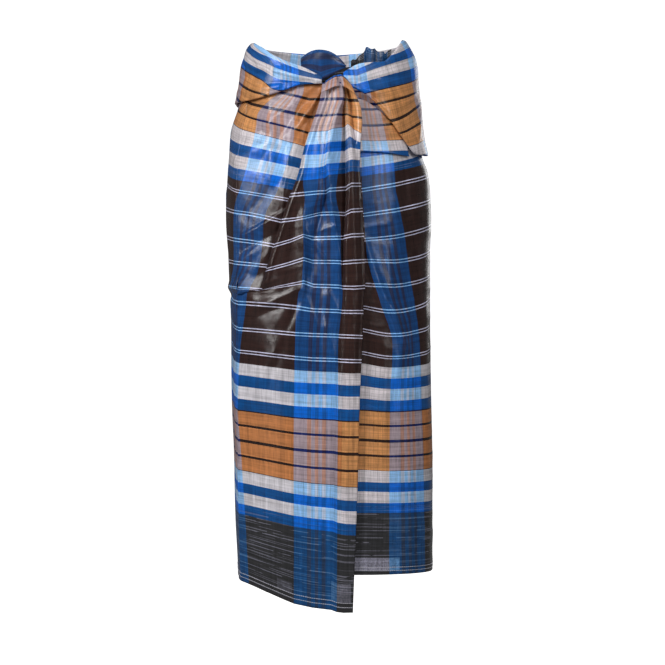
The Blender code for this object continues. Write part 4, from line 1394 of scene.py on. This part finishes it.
def makeFloor():
    wide, back, bend = paleSweep["wide"], paleSweep["back"], paleSweep["bend"]
    profile = [(-paleSweep["deep"], 0.0), (back, 0.0)]
    for k in range(1, 17):
        a = math.pi / 2 * k / 16
        profile.append((back + bend * math.sin(a), bend * (1 - math.cos(a))))
    profile.append((back + bend, paleSweep["tall"]))
    points = [(x, y, studio["floor"] + z) for y, z in profile for x in (-wide, wide)]
    faces = [(2 * k, 2 * k + 1, 2 * k + 3, 2 * k + 2) for k in range(len(profile) - 1)]
    sweep = newPiece("paleSweep", points, [], faces)
    paint, tree, shader = newPaint("palePaper")
    shader.inputs["Roughness"].default_value = 0.9
    shader.inputs["Emission Color"].default_value = (1, 1, 1, 1)
    seen = tree.nodes.new("ShaderNodeLightPath").outputs["Is Camera Ray"]
    glow = maths(tree, "MULTIPLY", seen, paleSweep["glow"])
    pale = mixed(tree, seen, paleSweep["lighting"], paleSweep["seen"])
    tree.links.new(pale, shader.inputs["Base Color"])
    tree.links.new(glow, shader.inputs["Emission Strength"])
    sweep.data.materials.append(paint)


def softbox(name, place, wide, tall, power):
    lamp = bpy.data.lights.new(name, "AREA")
    lamp.shape = "RECTANGLE"
    lamp.size, lamp.size_y = wide, tall
    lamp.energy = power
    holder = bpy.data.objects.new(name, lamp)
    holder.location = place
    aim = np.array(studio["aim"]) - np.array(place)
    yaw = math.atan2(aim[1], aim[0])
    pitch = math.atan2(math.hypot(aim[0], aim[1]), -aim[2])
    holder.rotation_euler = (pitch, 0, yaw - math.pi / 2)
    bpy.context.collection.objects.link(holder)


lamps = (
    # name, place, how wide, how tall, power
    ("keyBox", (-2.7, -2.3, 1.3), 0.5, 1.7, 92),
    ("frontBox", (0.5, -3.4, 1.9), 1.0, 0.7, 26),
    ("fillBox", (1.9, -2.4, 0.9), 0.5, 1.6, 22),
    ("topBox", (0.2, -1.0, 2.2), 1.0, 1.0, 9),
    ("backBox", (1.6, 3.4, 0.3), 1.2, 1.2, 10),
)
makeFloor()
for lamp in lamps:
    softbox(*lamp)
world = bpy.data.worlds.new("studioAir")
world.use_nodes = True
world.node_tree.nodes["Background"].inputs[0].default_value = (1, 1, 1, 1)
airSeen = world.node_tree.nodes.new("ShaderNodeLightPath")
airGlow = maths(world.node_tree, "MULTIPLY_ADD", airSeen.outputs["Is Camera Ray"],
                studio["airSeen"], studio["air"])
world.node_tree.links.new(airGlow, world.node_tree.nodes["Background"].inputs[1])
bpy.context.scene.world = world

view = bpy.data.cameras.new("portrait")
view.sensor_width = 36
view.lens = 36 * studio["distance"] / studio["viewWide"]
cameraHolder = bpy.data.objects.new("portrait", view)
cameraHolder.location = (studio["middle"][0], -studio["distance"], studio["middle"][1])
cameraHolder.rotation_euler = (math.pi / 2, 0, 0)
bpy.context.collection.objects.link(cameraHolder)
bpy.context.scene.camera = cameraHolder
bpy.context.scene.view_settings.view_transform = "Standard"
print("studio set")
